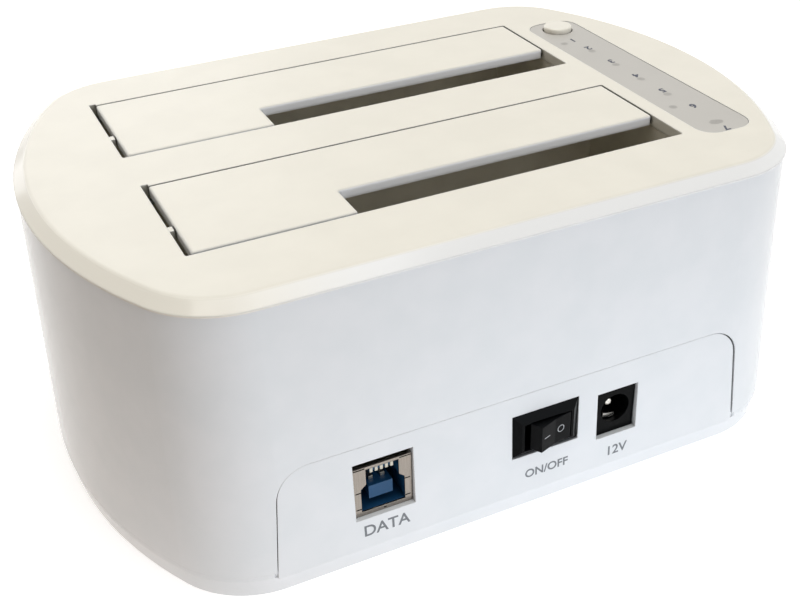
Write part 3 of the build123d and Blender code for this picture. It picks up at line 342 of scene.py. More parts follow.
@dataclass(frozen=True)
class TwoZonePlastic(MouldedPlastic):
    """Moulded plastic whose flat top is spark-eroded to a satin, while its polished sides carry a painted
    reflection.

    Attributes:
        side_reflection_colour: colour of the polished sides, whiter than the top: a painted reflection of the
            pale room
        far_side_reflection_colour: their colour toward +x, painted ivory where the photograph shows them so
        far_side_mm: where along x the one passes into the other
        side_gloss: gloss of the polished sides
        zone_mm: height at which the satin starts
        blend_mm: height over which one passes into the other
        wall_shade_colour: colour of the matt walls of the slots, a darker copy of the ivory: painted shade
        wall_shade_reach_mm: how far from the middle, along x and y, those walls lie
    """

    side_reflection_colour: str = "F7F8F8"
    far_side_reflection_colour: str = "F9F5E9"
    far_side_mm: tuple[float, float] = (25.0, 62.0)
    side_gloss: Gloss = Gloss.POLISHED
    zone_mm: float = 65.0
    blend_mm: float = 0.3
    wall_shade_colour: str = "DDD9CC"
    wall_shade_reach_mm: tuple[float, float] = (60.0, 44.0)

    def zone(self, tree: bpy.types.NodeTree, place: bpy.types.NodeSocket) -> bpy.types.NodeSocket:
        """The share of satin, from 0 on the sides to 1 on the top.

        Args:
            tree: the material's node tree
            place: the surface point
        Returns:
            the socket that holds the share
        """
        split = add_node(tree, "ShaderNodeSeparateXYZ", links={"Vector": place})
        return add_node(tree, "ShaderNodeMapRange",
                        {"From Min": self.zone_mm * MM, "From Max": (self.zone_mm + self.blend_mm) * MM},
                        {"Value": split.outputs["Z"]}).outputs["Result"]

    def zoned(self, tree: bpy.types.NodeTree, place: bpy.types.NodeSocket,
              tone: bpy.types.NodeSocket) -> bpy.types.NodeSocket:
        """The painted reflection on the outer sides and the painted shade on the slots' walls below, and the
        flow-line colour on the top.

        Args:
            tree: the material's node tree
            place: the surface point
            tone: the flow-line colour
        Returns:
            the socket that holds the colour
        """
        split = add_node(tree, "ShaderNodeSeparateXYZ", links={"Vector": place})
        near = []
        for axis, reach in zip("XY", self.wall_shade_reach_mm):
            off = add_node(tree, "ShaderNodeMath", {"operation": "ABSOLUTE"}, {0: split.outputs[axis]})
            near.append(add_node(tree, "ShaderNodeMath", {"operation": "LESS_THAN", 1: reach * MM},
                                 {0: off.outputs[0]}).outputs[0])
        inner = add_node(tree, "ShaderNodeMath", {"operation": "MULTIPLY"}, {0: near[0], 1: near[1]})
        along = add_node(tree, "ShaderNodeMapRange",
                         {"interpolation_type": "SMOOTHSTEP", "From Min": self.far_side_mm[0] * MM,
                          "From Max": self.far_side_mm[1] * MM},
                         {"Value": split.outputs["X"]})
        # Painted reflection: the sides whiter than the top, passing to a lighter ivory toward +x
        side = add_node(tree, "ShaderNodeMix",
                        {"data_type": "RGBA", 6: linear(self.side_reflection_colour), 7: linear(self.far_side_reflection_colour)},
                        {0: along.outputs["Result"]})
        # Painted shade: the slots' walls a darker copy of the ivory
        below = add_node(tree, "ShaderNodeMix", {"data_type": "RGBA", 7: linear(self.wall_shade_colour)},
                         {0: inner.outputs[0], 6: side.outputs[2]})
        return add_node(tree, "ShaderNodeMix", {"data_type": "RGBA"},
                        {0: self.zone(tree, place), 6: below.outputs[2], 7: tone}).outputs[2]

    def roughness(self, tree: bpy.types.NodeTree, place: bpy.types.NodeSocket) -> bpy.types.NodeSocket:
        """Polished sides below and satin on the top."""
        return add_node(tree, "ShaderNodeMapRange",
                        {"To Min": self.side_gloss.value, "To Max": self.gloss.value},
                        {"Value": self.zone(tree, place)}).outputs["Result"]


@dataclass(frozen=True)
class PlatedMetal(Finish):
    """Rolled, drawn or turned metal with its plating: a metal shine broken by streaks.

    Attributes:
        colour: the plating's colour
        gloss: how bright the plating is
        streak: the way the marks of rolling or drawing run
        streak_mm: width of one streak, drawn coarser than the marks of real rolling so that it shows
        relief_mm: depth of the streaks
        dark_share: the share of its light that the colour keeps in the darkest streaks
        polish_range: the least and the most that the streaks scale the roughness by
        edge_mm: the radius to which edges look rounded
    """

    colour: str = "C9C4BE"
    gloss: Gloss = Gloss.SMOOTH
    streak: Streak = Streak.NONE
    streak_mm: float = 0.3
    relief_mm: float = 0.002
    dark_share: float = 0.82
    polish_range: tuple[float, float] = (0.8, 1.25)
    edge_mm: float = 0.06

    def shader(self, tree: bpy.types.NodeTree, place: bpy.types.NodeSocket) -> bpy.types.Node:
        """Builds streaks that vary the plating's tone, roughness and relief.

        Args:
            tree: the material's node tree
            place: the surface point
        Returns:
            the node whose first output is the shader
        """
        run = add_node(tree, "ShaderNodeMapping", {"Scale": self.streak.value}, {"Vector": place})
        mark = add_node(tree, "ShaderNodeTexNoise", {"Scale": per_metre(self.streak_mm), "Detail": 3.0},
                        {"Vector": run.outputs["Vector"]})
        tone = add_node(tree, "ShaderNodeValToRGB", {"stops": mottled(self.colour, self.dark_share)},
                        {"Fac": mark.outputs["Fac"]})
        rough = add_node(tree, "ShaderNodeMapRange",
                         {"To Min": self.gloss.value * self.polish_range[0],
                          "To Max": self.gloss.value * self.polish_range[1]},
                         {"Value": mark.outputs["Fac"]})
        edge = add_node(tree, "ShaderNodeBevel", {"samples": EDGE_SAMPLES, "Radius": self.edge_mm * MM})
        bump = add_node(tree, "ShaderNodeBump", {"Distance": self.relief_mm * MM},
                        {"Height": mark.outputs["Fac"], "Normal": edge.outputs["Normal"]})
        return add_node(tree, "ShaderNodeBsdfPrincipled", {"Metallic": 1.0},
                        {"Base Color": tone.outputs["Color"], "Roughness": rough.outputs["Result"],
                         "Normal": bump.outputs["Normal"]})


@dataclass(frozen=True)
class PrintedFilm(Finish):
    """Screen-printed polycarbonate film: an even grey print under a finely embossed, satin face.

    Attributes:
        colour: the print's colour
        emboss_mm: width of one pimple of the emboss, drawn coarser than a real one so that it shows
        emboss_depth_mm: depth of the emboss
        emboss_strength: how much of that relief the light picks up
        cloud_mm: width of one uneven patch of the print
        dark_share: the share of its light that the print keeps in the darkest patch
        ior: refractive index, 1.58 for polycarbonate
    """

    colour: str = "C2BFB9"
    emboss_mm: float = 0.45
    emboss_depth_mm: float = 0.004
    emboss_strength: float = 0.7
    cloud_mm: float = 18.0
    dark_share: float = 0.95
    ior: float = 1.58

    def shader(self, tree: bpy.types.NodeTree, place: bpy.types.NodeSocket) -> bpy.types.Node:
        """Builds the embossed face and a print that is a touch uneven.

        Args:
            tree: the material's node tree
            place: the surface point
        Returns:
            the node whose first output is the shader
        """
        cloud = add_node(tree, "ShaderNodeTexNoise", {"Scale": per_metre(self.cloud_mm), "Detail": 2.0},
                         {"Vector": place})
        tone = add_node(tree, "ShaderNodeValToRGB", {"stops": mottled(self.colour, self.dark_share)},
                        {"Fac": cloud.outputs["Fac"]})
        dots = add_node(tree, "ShaderNodeTexVoronoi", {"Scale": per_metre(self.emboss_mm)}, {"Vector": place})
        bump = add_node(tree, "ShaderNodeBump",
                        {"Distance": self.emboss_depth_mm * MM, "Strength": self.emboss_strength},
                        {"Height": dots.outputs["Distance"]})
        return add_node(tree, "ShaderNodeBsdfPrincipled",
                        {"IOR": self.ior, "Roughness": Gloss.SATIN.value},
                        {"Base Color": tone.outputs["Color"], "Normal": bump.outputs["Normal"]})


@dataclass(frozen=True)
class FrostedAcrylic(Finish):
    """Moulded acrylic with a frosted face: light soaks in and spreads, so that it looks milky.

    Attributes:
        colour: the colour that the lamp window shows while its lamp is off
        clear: how much light goes through
        frost_mm: width of one grain of the frosting
        frost_depth_mm: depth of the frosting
        dark_share: the share of its light that the colour keeps in the darkest grain
        roughness: how much the frosting spreads the light
        ior: refractive index, 1.49 for acrylic
    """

    colour: str = "D2D0CA"
    clear: float = 0.25
    frost_mm: float = 0.25
    frost_depth_mm: float = 0.006
    dark_share: float = 0.9
    roughness: float = 0.35
    ior: float = 1.49

    def shader(self, tree: bpy.types.NodeTree, place: bpy.types.NodeSocket) -> bpy.types.Node:
        """Builds the frosting and the light that goes through it.

        Args:
            tree: the material's node tree
            place: the surface point
        Returns:
            the node whose first output is the shader
        """
        frost = add_node(tree, "ShaderNodeTexNoise", {"Scale": per_metre(self.frost_mm), "Detail": 2.0},
                         {"Vector": place})
        tone = add_node(tree, "ShaderNodeValToRGB", {"stops": mottled(self.colour, self.dark_share)},
                        {"Fac": frost.outputs["Fac"]})
        bump = add_node(tree, "ShaderNodeBump", {"Distance": self.frost_depth_mm * MM},
                        {"Height": frost.outputs["Fac"]})
        return add_node(tree, "ShaderNodeBsdfPrincipled",
                        {"IOR": self.ior, "Roughness": self.roughness, "Transmission Weight": self.clear},
                        {"Base Color": tone.outputs["Color"], "Normal": bump.outputs["Normal"]})


@dataclass(frozen=True)
class SolderMask(Finish):
    """Circuit board: a green lacquer over copper tracks, which stand up as paler lines.

    Attributes:
        colour: the lacquer over bare board
        track_colour: the lacquer over copper
        pitch_mm: distance between tracks
        cell_pitches: how many of those distances one cell of the pattern is wide
        flank_span: where a track's flank starts and ends, in cells from the middle of the space between
        copper_mm: height of the tracks
        copper_strength: how much of that relief shows through the lacquer
        roughness: roughness of the board under the lacquer's clear coat
        coat: weight of the clear coat
        coat_roughness: its roughness
        ior: refractive index, 1.5 for epoxy lacquer
    """

    colour: str = "1F5C3C"
    track_colour: str = "2F7A4E"
    pitch_mm: float = 1.6
    cell_pitches: int = 6
    flank_span: tuple[float, float] = (0.035, 0.045)
    copper_mm: float = 0.03
    copper_strength: float = 0.6
    roughness: float = 0.3
    coat: float = 0.5
    coat_roughness: float = 0.1
    ior: float = 1.5

    def shader(self, tree: bpy.types.NodeTree, place: bpy.types.NodeSocket) -> bpy.types.Node:
        """Builds tracks with straight runs and corners, under a clear glossy lacquer.

        Args:
            tree: the material's node tree
            place: the surface point
        Returns:
            the node whose first output is the shader
        """
        cell = add_node(tree, "ShaderNodeTexVoronoi",
                        {"distance": "CHEBYCHEV", "Scale": per_metre(self.cell_pitches * self.pitch_mm)},
                        {"Vector": place})
        rings = add_node(tree, "ShaderNodeMath", {"operation": "PINGPONG", 1: 1 / (2 * self.cell_pitches)},
                         {0: cell.outputs["Distance"]})
        line = add_node(tree, "ShaderNodeMapRange",
                        {"From Min": self.flank_span[0], "From Max": self.flank_span[1]},
                        {"Value": rings.outputs["Value"]})
        tone = add_node(tree, "ShaderNodeMix",
                        {"data_type": "RGBA", 6: linear(self.colour), 7: linear(self.track_colour)},
                        {0: line.outputs["Result"]})
        bump = add_node(tree, "ShaderNodeBump",
                        {"Distance": self.copper_mm * MM, "Strength": self.copper_strength},
                        {"Height": line.outputs["Result"]})
        return add_node(tree, "ShaderNodeBsdfPrincipled",
                        {"IOR": self.ior, "Roughness": self.roughness, "Coat Weight": self.coat,
                         "Coat Roughness": self.coat_roughness},
                        {"Base Color": tone.outputs[2], "Normal": bump.outputs["Normal"]})


@dataclass(frozen=True)
class PittedSolid(Finish):
    """Pressed ferrite, moulded rubber, epoxy or ink: a dull body broken by fine pits.

    Attributes:
        colour: the body's colour
        gloss: how dull it is
        pit_mm: width of one pit
        pit_depth_mm: depth of the pits
        ior: refractive index, 1.5 for ink and epoxy
        dark_share: the share of its light that the colour keeps in the pits
        dark_span: the values of the pit pattern at which the colour is darkest and full
    """

    colour: str = "3A3B3C"
    gloss: Gloss = Gloss.DULL
    pit_mm: float = 0.3
    pit_depth_mm: float = 0.015
    ior: float = 1.5
    dark_share: float = 0.8
    dark_span: tuple[float, float] = (0.3, 0.6)

    def shader(self, tree: bpy.types.NodeTree, place: bpy.types.NodeSocket) -> bpy.types.Node:
        """Builds the pits and a mottle of the same size.

        Args:
            tree: the material's node tree
            place: the surface point
        Returns:
            the node whose first output is the shader
        """
        pit = add_node(tree, "ShaderNodeTexNoise",
                       {"Scale": per_metre(self.pit_mm), "Detail": 3.0, "Roughness": 0.65},
                       {"Vector": place})
        tone = add_node(tree, "ShaderNodeValToRGB",
                        {"stops": mottled(self.colour, self.dark_share, self.dark_span)},
                        {"Fac": pit.outputs["Fac"]})
        bump = add_node(tree, "ShaderNodeBump", {"Distance": self.pit_depth_mm * MM},
                        {"Height": pit.outputs["Fac"]})
        return add_node(tree, "ShaderNodeBsdfPrincipled", {"IOR": self.ior, "Roughness": self.gloss.value},
                        {"Base Color": tone.outputs["Color"], "Normal": bump.outputs["Normal"]})


@dataclass(frozen=True)
class RibbonJacket(Finish):
    """Extruded vinyl ribbon: wires side by side, which show as soft ribs.

    Attributes:
        colour: the jacket's colour
        pitch_mm: distance between wires
        rib_mm: height of the ribs
        dark_share: the share of its light that the colour keeps between the ribs
        dark_span: the values of the rib pattern at which the colour is darkest and full
        ior: refractive index, 1.54 for vinyl
    """

    colour: str = "8C8F93"
    pitch_mm: float = 1.0
    rib_mm: float = 0.2
    dark_share: float = 0.7
    dark_span: tuple[float, float] = (0.0, 0.4)
    ior: float = 1.54

    def shader(self, tree: bpy.types.NodeTree, place: bpy.types.NodeSocket) -> bpy.types.Node:
        """Builds the ribs, one for each wire.

        Args:
            tree: the material's node tree
            place: the surface point
        Returns:
            the node whose first output is the shader
        """
        rib = add_node(tree, "ShaderNodeTexWave",
                       {"bands_direction": "Y", "Scale": per_metre(self.pitch_mm) * WAVE_PERIOD},
                       {"Vector": place})
        tone = add_node(tree, "ShaderNodeValToRGB",
                        {"stops": mottled(self.colour, self.dark_share, self.dark_span)},
                        {"Fac": rib.outputs["Fac"]})
        bump = add_node(tree, "ShaderNodeBump", {"Distance": self.rib_mm * MM},
                        {"Height": rib.outputs["Fac"]})
        return add_node(tree, "ShaderNodeBsdfPrincipled", {"IOR": self.ior, "Roughness": Gloss.SATIN.value},
                        {"Base Color": tone.outputs["Color"], "Normal": bump.outputs["Normal"]})


# Polished white ABS of the body: a mirror-like skin that bends reflections a little, with painted shade in
# its seams between the given heights
SHELL_WHITE = MouldedPlastic("polished_white_abs", "EEF1F4", "EAEEF1", Gloss.POLISHED,
                             gap_heights_mm=(9.5, 23.5))
# Ivory ABS of the top: soft satin with no reflection; polished sides with a painted reflection, edges with a
# white painted highlight, painted shade in gaps and on the slots' walls
COVER_IVORY = TwoZonePlastic("satin_ivory_abs", "EDE9DD", "EAE6DA", Gloss.SATIN, edge_mm=0.4,
                             edge_highlight_colour="FFFFFF", gap_mm=2.5, gap_span=(0.25, 0.62))
# The same ivory ABS on the flaps: round moulded edges with a painted highlight, sides painted whiter as a
# painted reflection, and painted shade in the gaps
FLAP_IVORY = TwoZonePlastic("satin_ivory_flap_abs", "EDE9DD", "EAE6DA", Gloss.SATIN, edge_mm=1.0,
                            edge_highlight_colour="FDFEFF", gap_mm=0.9, gap_span=(0.5, 0.92), side_reflection_colour="FCFDFF",
                            far_side_reflection_colour="FCFDFF", zone_mm=65.15, blend_mm=0.1, wall_shade_reach_mm=(0.0, 0.0))
# Ivory button cap, polished, so that its dome holds a soft highlight
CAP_IVORY = MouldedPlastic("polished_ivory_abs", "F0ECE0", "EDE9DD", Gloss.SMOOTH, edge_mm=0.12)
# Pale warm grey ABS of the drive cage, a darker copy of the ivory: painted shade of the deep wells; matt, so
# that the wells show no glints
CAGE_GREY = MouldedPlastic("matt_grey_abs", "E0DBCD", "D9D3C4", Gloss.MATT, edge_highlight_colour="E4DFD2")
# Black moulded nylon of inlet, sockets, plunger and switch frame: it swallows nearly all light and its edges
# carry a painted highlight; it also colours the painted shade strips in the data port's slits
BLACK_NYLON_AND_SLIT_SHADE = MouldedPlastic("black_nylon_and_slit_shade", "07090B", "060708", Gloss.SMOOTH, edge_mm=0.15,
                             edge_highlight_colour="16191D", shine=0.05)
# Black moulded ABS of the rocker: as dark, with a painted highlight that makes its edges stand out a little
ROCKER_BLACK = MouldedPlastic("rocker_black_abs", "0A0B0D", "08090B", Gloss.SMOOTH, edge_mm=0.2,
                              edge_highlight_colour="1E2125", shine=0.05)
# Blue thermoplastic of the data port: dense colour with a soft shine, painted shade deep inside and a painted
# highlight on its edges
PORT_BLUE = MouldedPlastic("port_blue_plastic", "235580", "1E4B72", Gloss.SMOOTH, edge_mm=0.1,
                           edge_highlight_colour="3A6690", gap_mm=4.0, gap_span=(0.15, 0.7), gap_shade=0.3, shine=0.25)
# Undyed nylon of the ribbon's headers: a soft, waxy cream
HEADER_CREAM = MouldedPlastic("cream_nylon", "E3DCC6", "DCD5BF", Gloss.SATIN, edge_mm=0.1)
# Nickel-plated steel: a warm grey shine with fine marks of rolling
PLATED_STEEL = PlatedMetal("nickel_plated_steel", "A39B93", Gloss.SMOOTH, Streak.ALONG_Z, 0.2)
# Bright nickel on the inlet's pin and leaf: near white, so that they glint in the dark bore
BRIGHT_NICKEL = PlatedMetal("bright_nickel", "EDEAE4", Gloss.SMOOTH, Streak.NONE, 0.3, 0.001)
# Tin plate on the data port's contacts, paler and duller than gold
TIN_PLATE = PlatedMetal("tin_plate", "C9C6BB", Gloss.SATIN, Streak.ALONG_Z, 0.15)
# Zinc-plated steel of the screws and pins: a cool grey, duller than nickel
SCREW_STEEL = PlatedMetal("zinc_plated_steel", "B9BEC2", Gloss.SATIN, Streak.NONE, 0.4, 0.004)
# Drawn spring wire: a plain grey shine with long marks of the die
SPRING_STEEL = PlatedMetal("drawn_spring_wire", "A7A9AB", Gloss.SMOOTH, Streak.ALONG_X, 0.15)
# Drawn aluminium cans of the capacitors: bright, with upright streaks
CAN_ALUMINIUM = PlatedMetal("drawn_aluminium", "C9CCCF", Gloss.SMOOTH, Streak.ALONG_Z, 0.35)
# Gold flash on the drive sockets' contacts: a thin warm yellow shine
CONTACT_GOLD = PlatedMetal("gold_flash", "D9B36A", Gloss.SMOOTH, Streak.ALONG_Z, 0.15)
# Screen-printed polycarbonate film of the strip: an even warm grey with no clear reflection
STRIP_FILM = PrintedFilm("grey_printed_film")
# Frosted moulded acrylic of the unlit lamp windows: milky and a little darker than the film
LIGHT_PIPE = FrostedAcrylic("frosted_acrylic", "B3B0AA", 0.15)
# Lacquered glass-epoxy board: glossy green with paler tracks under the lacquer
BOARD_GREEN = SolderMask("green_solder_mask")
# Moulded black epoxy of the chips: a flat, fine-grained black
CHIP_EPOXY = PittedSolid("black_epoxy", "1E1F20", Gloss.MATT, 0.2, 0.006)
# Pressed and fired ferrite of the inductors: dull grey with pits that show
FERRITE = PittedSolid("pressed_ferrite", "3B3D40", Gloss.DULL, 0.35, 0.02)
# Moulded grey rubber of the feet: dull, with a soft coarse skin
FOOT_RUBBER = PittedSolid("grey_rubber", "54565A", Gloss.DULL, 0.6, 0.02, 1.52)
# Cast epoxy of the small lamps: a clean, slightly shiny white
LAMP_WHITE = PittedSolid("lamp_epoxy", "EDEDE6", Gloss.SATIN, 0.2, 0.004)
# Extruded vinyl on the switch's wires: a strong red with a soft shine
WIRE_RED = PittedSolid("red_vinyl", "A82A24", Gloss.SATIN, 0.5, 0.004, 1.54)
# Extruded vinyl ribbon between the boards: grey, with soft ribs
RIBBON_GREY = RibbonJacket("grey_vinyl_ribbon")
# Pad-printed and screen-printed inks: dull, a little uneven, and thinner than a hair
LABEL_INK = PittedSolid("grey_pad_print", "7F8489", Gloss.MATT, 0.4, 0.002)
STRIP_INK = PittedSolid("navy_screen_print", "4A4E5C", Gloss.MATT, 0.4, 0.002)
ROCKER_INK = PittedSolid("pale_grey_print", "C9CDD0", Gloss.MATT, 0.3, 0.002)
LEGEND_INK = PittedSolid("white_board_print", "E6E8E6", Gloss.MATT, 0.3, 0.002)


def dress(finish: Finish, *names: str) -> None:
    """Gives CAD nodes their finish.

    Args:
        finish: the finish
        names: the nodes that have it
    """
    for name in names:
        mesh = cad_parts[name].data
        mesh.materials.clear()
        mesh.materials.append(finish.material())
        LOG.info("node %s: %s", name, finish.name)


def hit(node: str, start: Vector, way: Vector) -> tuple[Vector, Vector]:
    """Finds where a ray first meets a CAD node at rest.

    Args:
        node: the node
        start: where the ray starts, in metres
        way: the ray's direction
    Returns:
        the point and the surface normal there
    """
    found, point, normal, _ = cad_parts[node].ray_cast(start, way.normalized())
    if not found:
        raise ValueError(f"no surface of {node} on the ray from {tuple(start)}")
    return point, normal


def stand(point: Vector, normal: Vector, up: Vector, lift_mm: float = 0.0) -> Matrix:
    """The place of a flat piece that lies on a surface.

    Args:
        point: where its middle is
        normal: the surface's normal there
        up: the way its top points, more or less
        lift_mm: how far it stands off the surface
    Returns:
        the matrix with its reading direction, its top and its face as axes
    """
    top = (up - up.dot(normal) * normal).normalized()
    across = top.cross(normal)
    spot = point + normal * lift_mm * MM
    return Matrix([[across[i], top[i], normal[i], spot[i]] for i in range(3)] + [[0.0, 0.0, 0.0, 1.0]])


def new_piece(name: str, build: bmesh.types.BMesh, finish: Finish, body: str,
              place: Matrix | None = None) -> bpy.types.Object:
    """Turns mesh code into a piece that rides on a body.

    Args:
        name: the piece's name
        build: the mesh, which is used up
        finish: its finish
        body: the body that it rides on
        place: where it goes, or None if its mesh is already in the frame
    Returns:
        the new object
    """
    mesh = bpy.data.meshes.new(name)
    build.normal_update()
    build.to_mesh(mesh)
    build.free()
    mesh.materials.append(finish.material())
    piece = bpy.data.objects.new(name, mesh)
    bpy.context.scene.collection.objects.link(piece)
    if place is not None:
        piece.matrix_world = place
    bpy.context.view_layer.update()
    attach(piece, body)
    LOG.info("piece %s rides on %s", name, body)
    return piece


def bridge(build: bmesh.types.BMesh, loops: list[list[bmesh.types.BMVert]]) -> None:
    """Joins closed loops of vertices with faces, each to the next and the last to the first.

    Args:
        build: the mesh that the vertices are in
        loops: the loops, all with the same number of vertices
    """
    for low, high in zip(loops, loops[1:] + loops[:1]):
        for i in range(len(low)):
            j = (i + 1) % len(low)
            build.faces.new((low[i], low[j], high[j], high[i]))


def washer(build: bmesh.types.BMesh, outer: float, inner: float, thick: float, centre: Vector,
           steps: int = 40) -> None:
    """Adds a flat ring to a mesh.

    Args:
        build: the mesh
        outer: outer radius in metres
        inner: inner radius in metres
        thick: thickness in metres, upward from the centre
        centre: middle of the ring's underside
        steps: number of facets round it
    """
    turns = [2 * math.pi * i / steps for i in range(steps)]
    loops = []
    for radius, height in ((outer, 0.0), (outer, thick), (inner, thick), (inner, 0.0)):
        loops.append([build.verts.new(centre + Vector((radius * math.cos(turn), radius * math.sin(turn),
                                                       height))) for turn in turns])
    bridge(build, loops)


def frame_outline(build: bmesh.types.BMesh, width: float, depth: float, line: float, thick: float,
                  centre: Vector) -> None:
    """Adds a thin rectangular frame to a mesh, such as a legend round a chip.

    Args:
        build: the mesh
        width: outer size along x in metres
        depth: outer size along y in metres
        line: width of the line in metres
        thick: thickness in metres
        centre: middle of the frame's underside
    """
    loops = []
    for shrink, height in ((0.0, 0.0), (0.0, thick), (line, thick), (line, 0.0)):
        half_w = width / 2 - shrink
        half_d = depth / 2 - shrink
        loops.append([build.verts.new(centre + Vector((half_w * sx, half_d * sy, height)))
                      for sx, sy in ((-1, -1), (1, -1), (1, 1), (-1, 1))])
    bridge(build, loops)


def slit(build: bmesh.types.BMesh, start: Vector, end: Vector, normal: Vector, width: float,
         steps: int = 6) -> None:
    """Adds a narrow flat strip with round ends to a mesh, such as the painted shade of a slit.

    Args:
        build: the mesh
        start: middle of one end
        end: middle of the other end
        normal: the way it faces
        width: width in metres
        steps: number of facets round each end
    """
    run = (end - start).normalized()
    side = normal.cross(run)
    rim = []
    for middle, first in ((end, -math.pi / 2), (start, math.pi / 2)):
        for i in range(steps + 1):
            turn = first + math.pi * i / steps
            rim.append(build.verts.new(middle + (math.cos(turn) * run + math.sin(turn) * side) * width / 2))
    build.faces.new(rim)


@dataclass(frozen=True)
class PrintedMark:
    """A word or number printed on a surface in a film of ink.

    Attributes:
        name: the piece's name
        text: what it says
        height_mm: height of its capitals
        film_mm: thickness of the ink
        weight_mm: how far the strokes are fattened, or thinned where it is below zero
        turn: quarter turns against the clock
        cap_share: height of the font's capitals as a share of its size
        curve_steps: number of facets in each piece of a letter's curve
    """

    name: str
    text: str
    height_mm: float
    film_mm: float = 0.02
    weight_mm: float = 0.05
    turn: int = 0
    cap_share: float = 0.69
    curve_steps: int = 6

    def lay(self, place: Matrix, finish: Finish, body: str) -> bpy.types.Object:
        """Lays the mark on its surface.

        Args:
            place: middle of the mark, with its reading direction, top and face as axes
            finish: its ink
            body: the body that it rides on
        Returns:
            the new object
        """
        curve = bpy.data.curves.new(self.name, "FONT")
        curve.body = self.text
        curve.size = self.height_mm * MM / self.cap_share
        curve.align_x = "CENTER"
        curve.align_y = "CENTER"
        curve.offset = self.weight_mm * MM
        curve.extrude = self.film_mm * MM / 2
        curve.resolution_u = self.curve_steps
        curve.materials.append(finish.material())
        mark = bpy.data.objects.new(self.name, curve)
        bpy.context.scene.collection.objects.link(mark)
        mark.matrix_world = place @ Matrix.Rotation(self.turn * math.pi / 2, 4, "Z")
        bpy.context.view_layer.update()
        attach(mark, body)
        LOG.info("mark %s rides on %s", self.name, body)
        return mark


@dataclass
class Housing:
    """The body: base tray, shell, top cover, base screws and feet.

    Attributes:
        pin_spots: places of the ejector pins' witness marks under the base, in mm
        pin_radius: radius of a witness mark
        pin_line: width of its raised rim
        pin_rise: height of that rim
        pin_ray: height at which the rays up to the base start, in mm
        bead_levels: heights of the foot and the top of the bead in the seam
        bead_inset: how far the bead lies behind the face of the shell
        bead_root: how far the bead reaches into the base, so that it hangs on it
        bead_depths: least and greatest depth of the seam where there is a bead
        bead_steps: number of places round the body at which the seam is measured
        bead_ray: distance from the body's middle at which the rays to the seam start, in mm
        shell_rise: how far above the bead the face of the shell is measured, in mm
    """

    pin_spots: tuple[tuple[float, float], ...] = ((0.0, 30.0), (0.0, -32.0), (30.0, 0.0), (-30.0, 0.0),
                                                  (58.0, 0.0), (-58.0, 0.0))
    pin_radius: float = 2.5
    pin_line: float = 0.18
    pin_rise: float = 0.08
    pin_ray: float = -20.0
    bead_levels: tuple[float, float] = (5.06, 6.34)
    bead_inset: float = 0.15
    bead_root: float = 0.05
    bead_depths: tuple[float, float] = (0.3, 1.2)
    bead_steps: int = 480
    bead_ray: float = 200.0
    shell_rise: float = 0.2

    def build(self) -> None:
        """Dresses the body and adds the witness marks under the base and the bead in the seam."""
        dress(SHELL_WHITE, "body_shell", "base_tray")
        dress(COVER_IVORY, "top_cover")
        dress(FOOT_RUBBER, "rubber_feet")
        dress(SCREW_STEEL, "base_screws")
        self.witness_marks()
        self.seam_bead()

    def witness_marks(self) -> None:
        """Builds the faint rings that ejector pins leave under a moulded base."""
        rings = bmesh.new()
        for x, y in self.pin_spots:
            point, _ = hit("base_tray", Vector((x * MM, y * MM, self.pin_ray * MM)), Vector((0, 0, 1)))
            washer(rings, self.pin_radius * MM, (self.pin_radius - self.pin_line) * MM, self.pin_rise * MM,
                   point - Vector((0, 0, self.pin_rise * MM)))
        bmesh.ops.recalc_face_normals(rings, faces=rings.faces)
        new_piece("ejector_witness_marks", rings, SHELL_WHITE, "housing")

    def seam_bead(self) -> None:
        """Builds the bead in the seam between base and shell, all round but for the port panel.

        The photograph shows no bead. It is a guess that stands for a closing lip, because the seam is
        nearly invisible there, while the gap between the two parts alone shows as a dark line.
        """
        build = bmesh.new()
        low, high = self.bead_levels
        before = None
        for i in range(self.bead_steps + 1):
            turn = 2 * math.pi * i / self.bead_steps + math.pi / 2
            way = Vector((math.cos(turn), math.sin(turn), 0.0))
            start = way * (self.bead_ray * MM)
            base, _ = hit("base_tray", start + Vector((0, 0, (low + high) / 2 * MM)), -way)
            shell, _ = hit("body_shell", start + Vector((0, 0, (high + self.shell_rise) * MM)), -way)
            depth = way.dot(shell - base) / MM
            ring = None
            if self.bead_depths[0] < depth < self.bead_depths[1]:
                face = depth - self.bead_inset
                ring = [build.verts.new(Vector((base.x, base.y, level * MM)) + way * reach * MM)
                        for reach, level in ((-self.bead_root, low), (face, low), (face, high),
                                             (-self.bead_root, high))]
            if ring and before:
                for j in range(4):
                    k = (j + 1) % 4
                    build.faces.new((before[j], before[k], ring[k], ring[j]))
            elif ring or before:
                build.faces.new(ring or before)
            before = ring
        bmesh.ops.recalc_face_normals(build, faces=build.faces)
        new_piece("seam_bead", build, SHELL_WHITE, "housing")


@dataclass
class DriveBays:
    """The two drive wells: cage, flaps with pins and springs, and the sockets at the bottom.

    Attributes:
        sides: the names of the two bays
    """

    sides: tuple[str, ...] = ("rear", "front")

    def build(self) -> None:
        """Dresses the wells and their moving flaps."""
        dress(CAGE_GREY, "drive_cage")
        dress(SCREW_STEEL, "cage_screws")
        for side in self.sides:
            dress(FLAP_IVORY, f"{side}_flap")
            dress(SPRING_STEEL, f"{side}_flap_spring")
            dress(SCREW_STEEL, f"{side}_hinge_pin")
            dress(BLACK_NYLON_AND_SLIT_SHADE, f"{side}_drive_socket")
            dress(CONTACT_GOLD, f"{side}_drive_contacts")


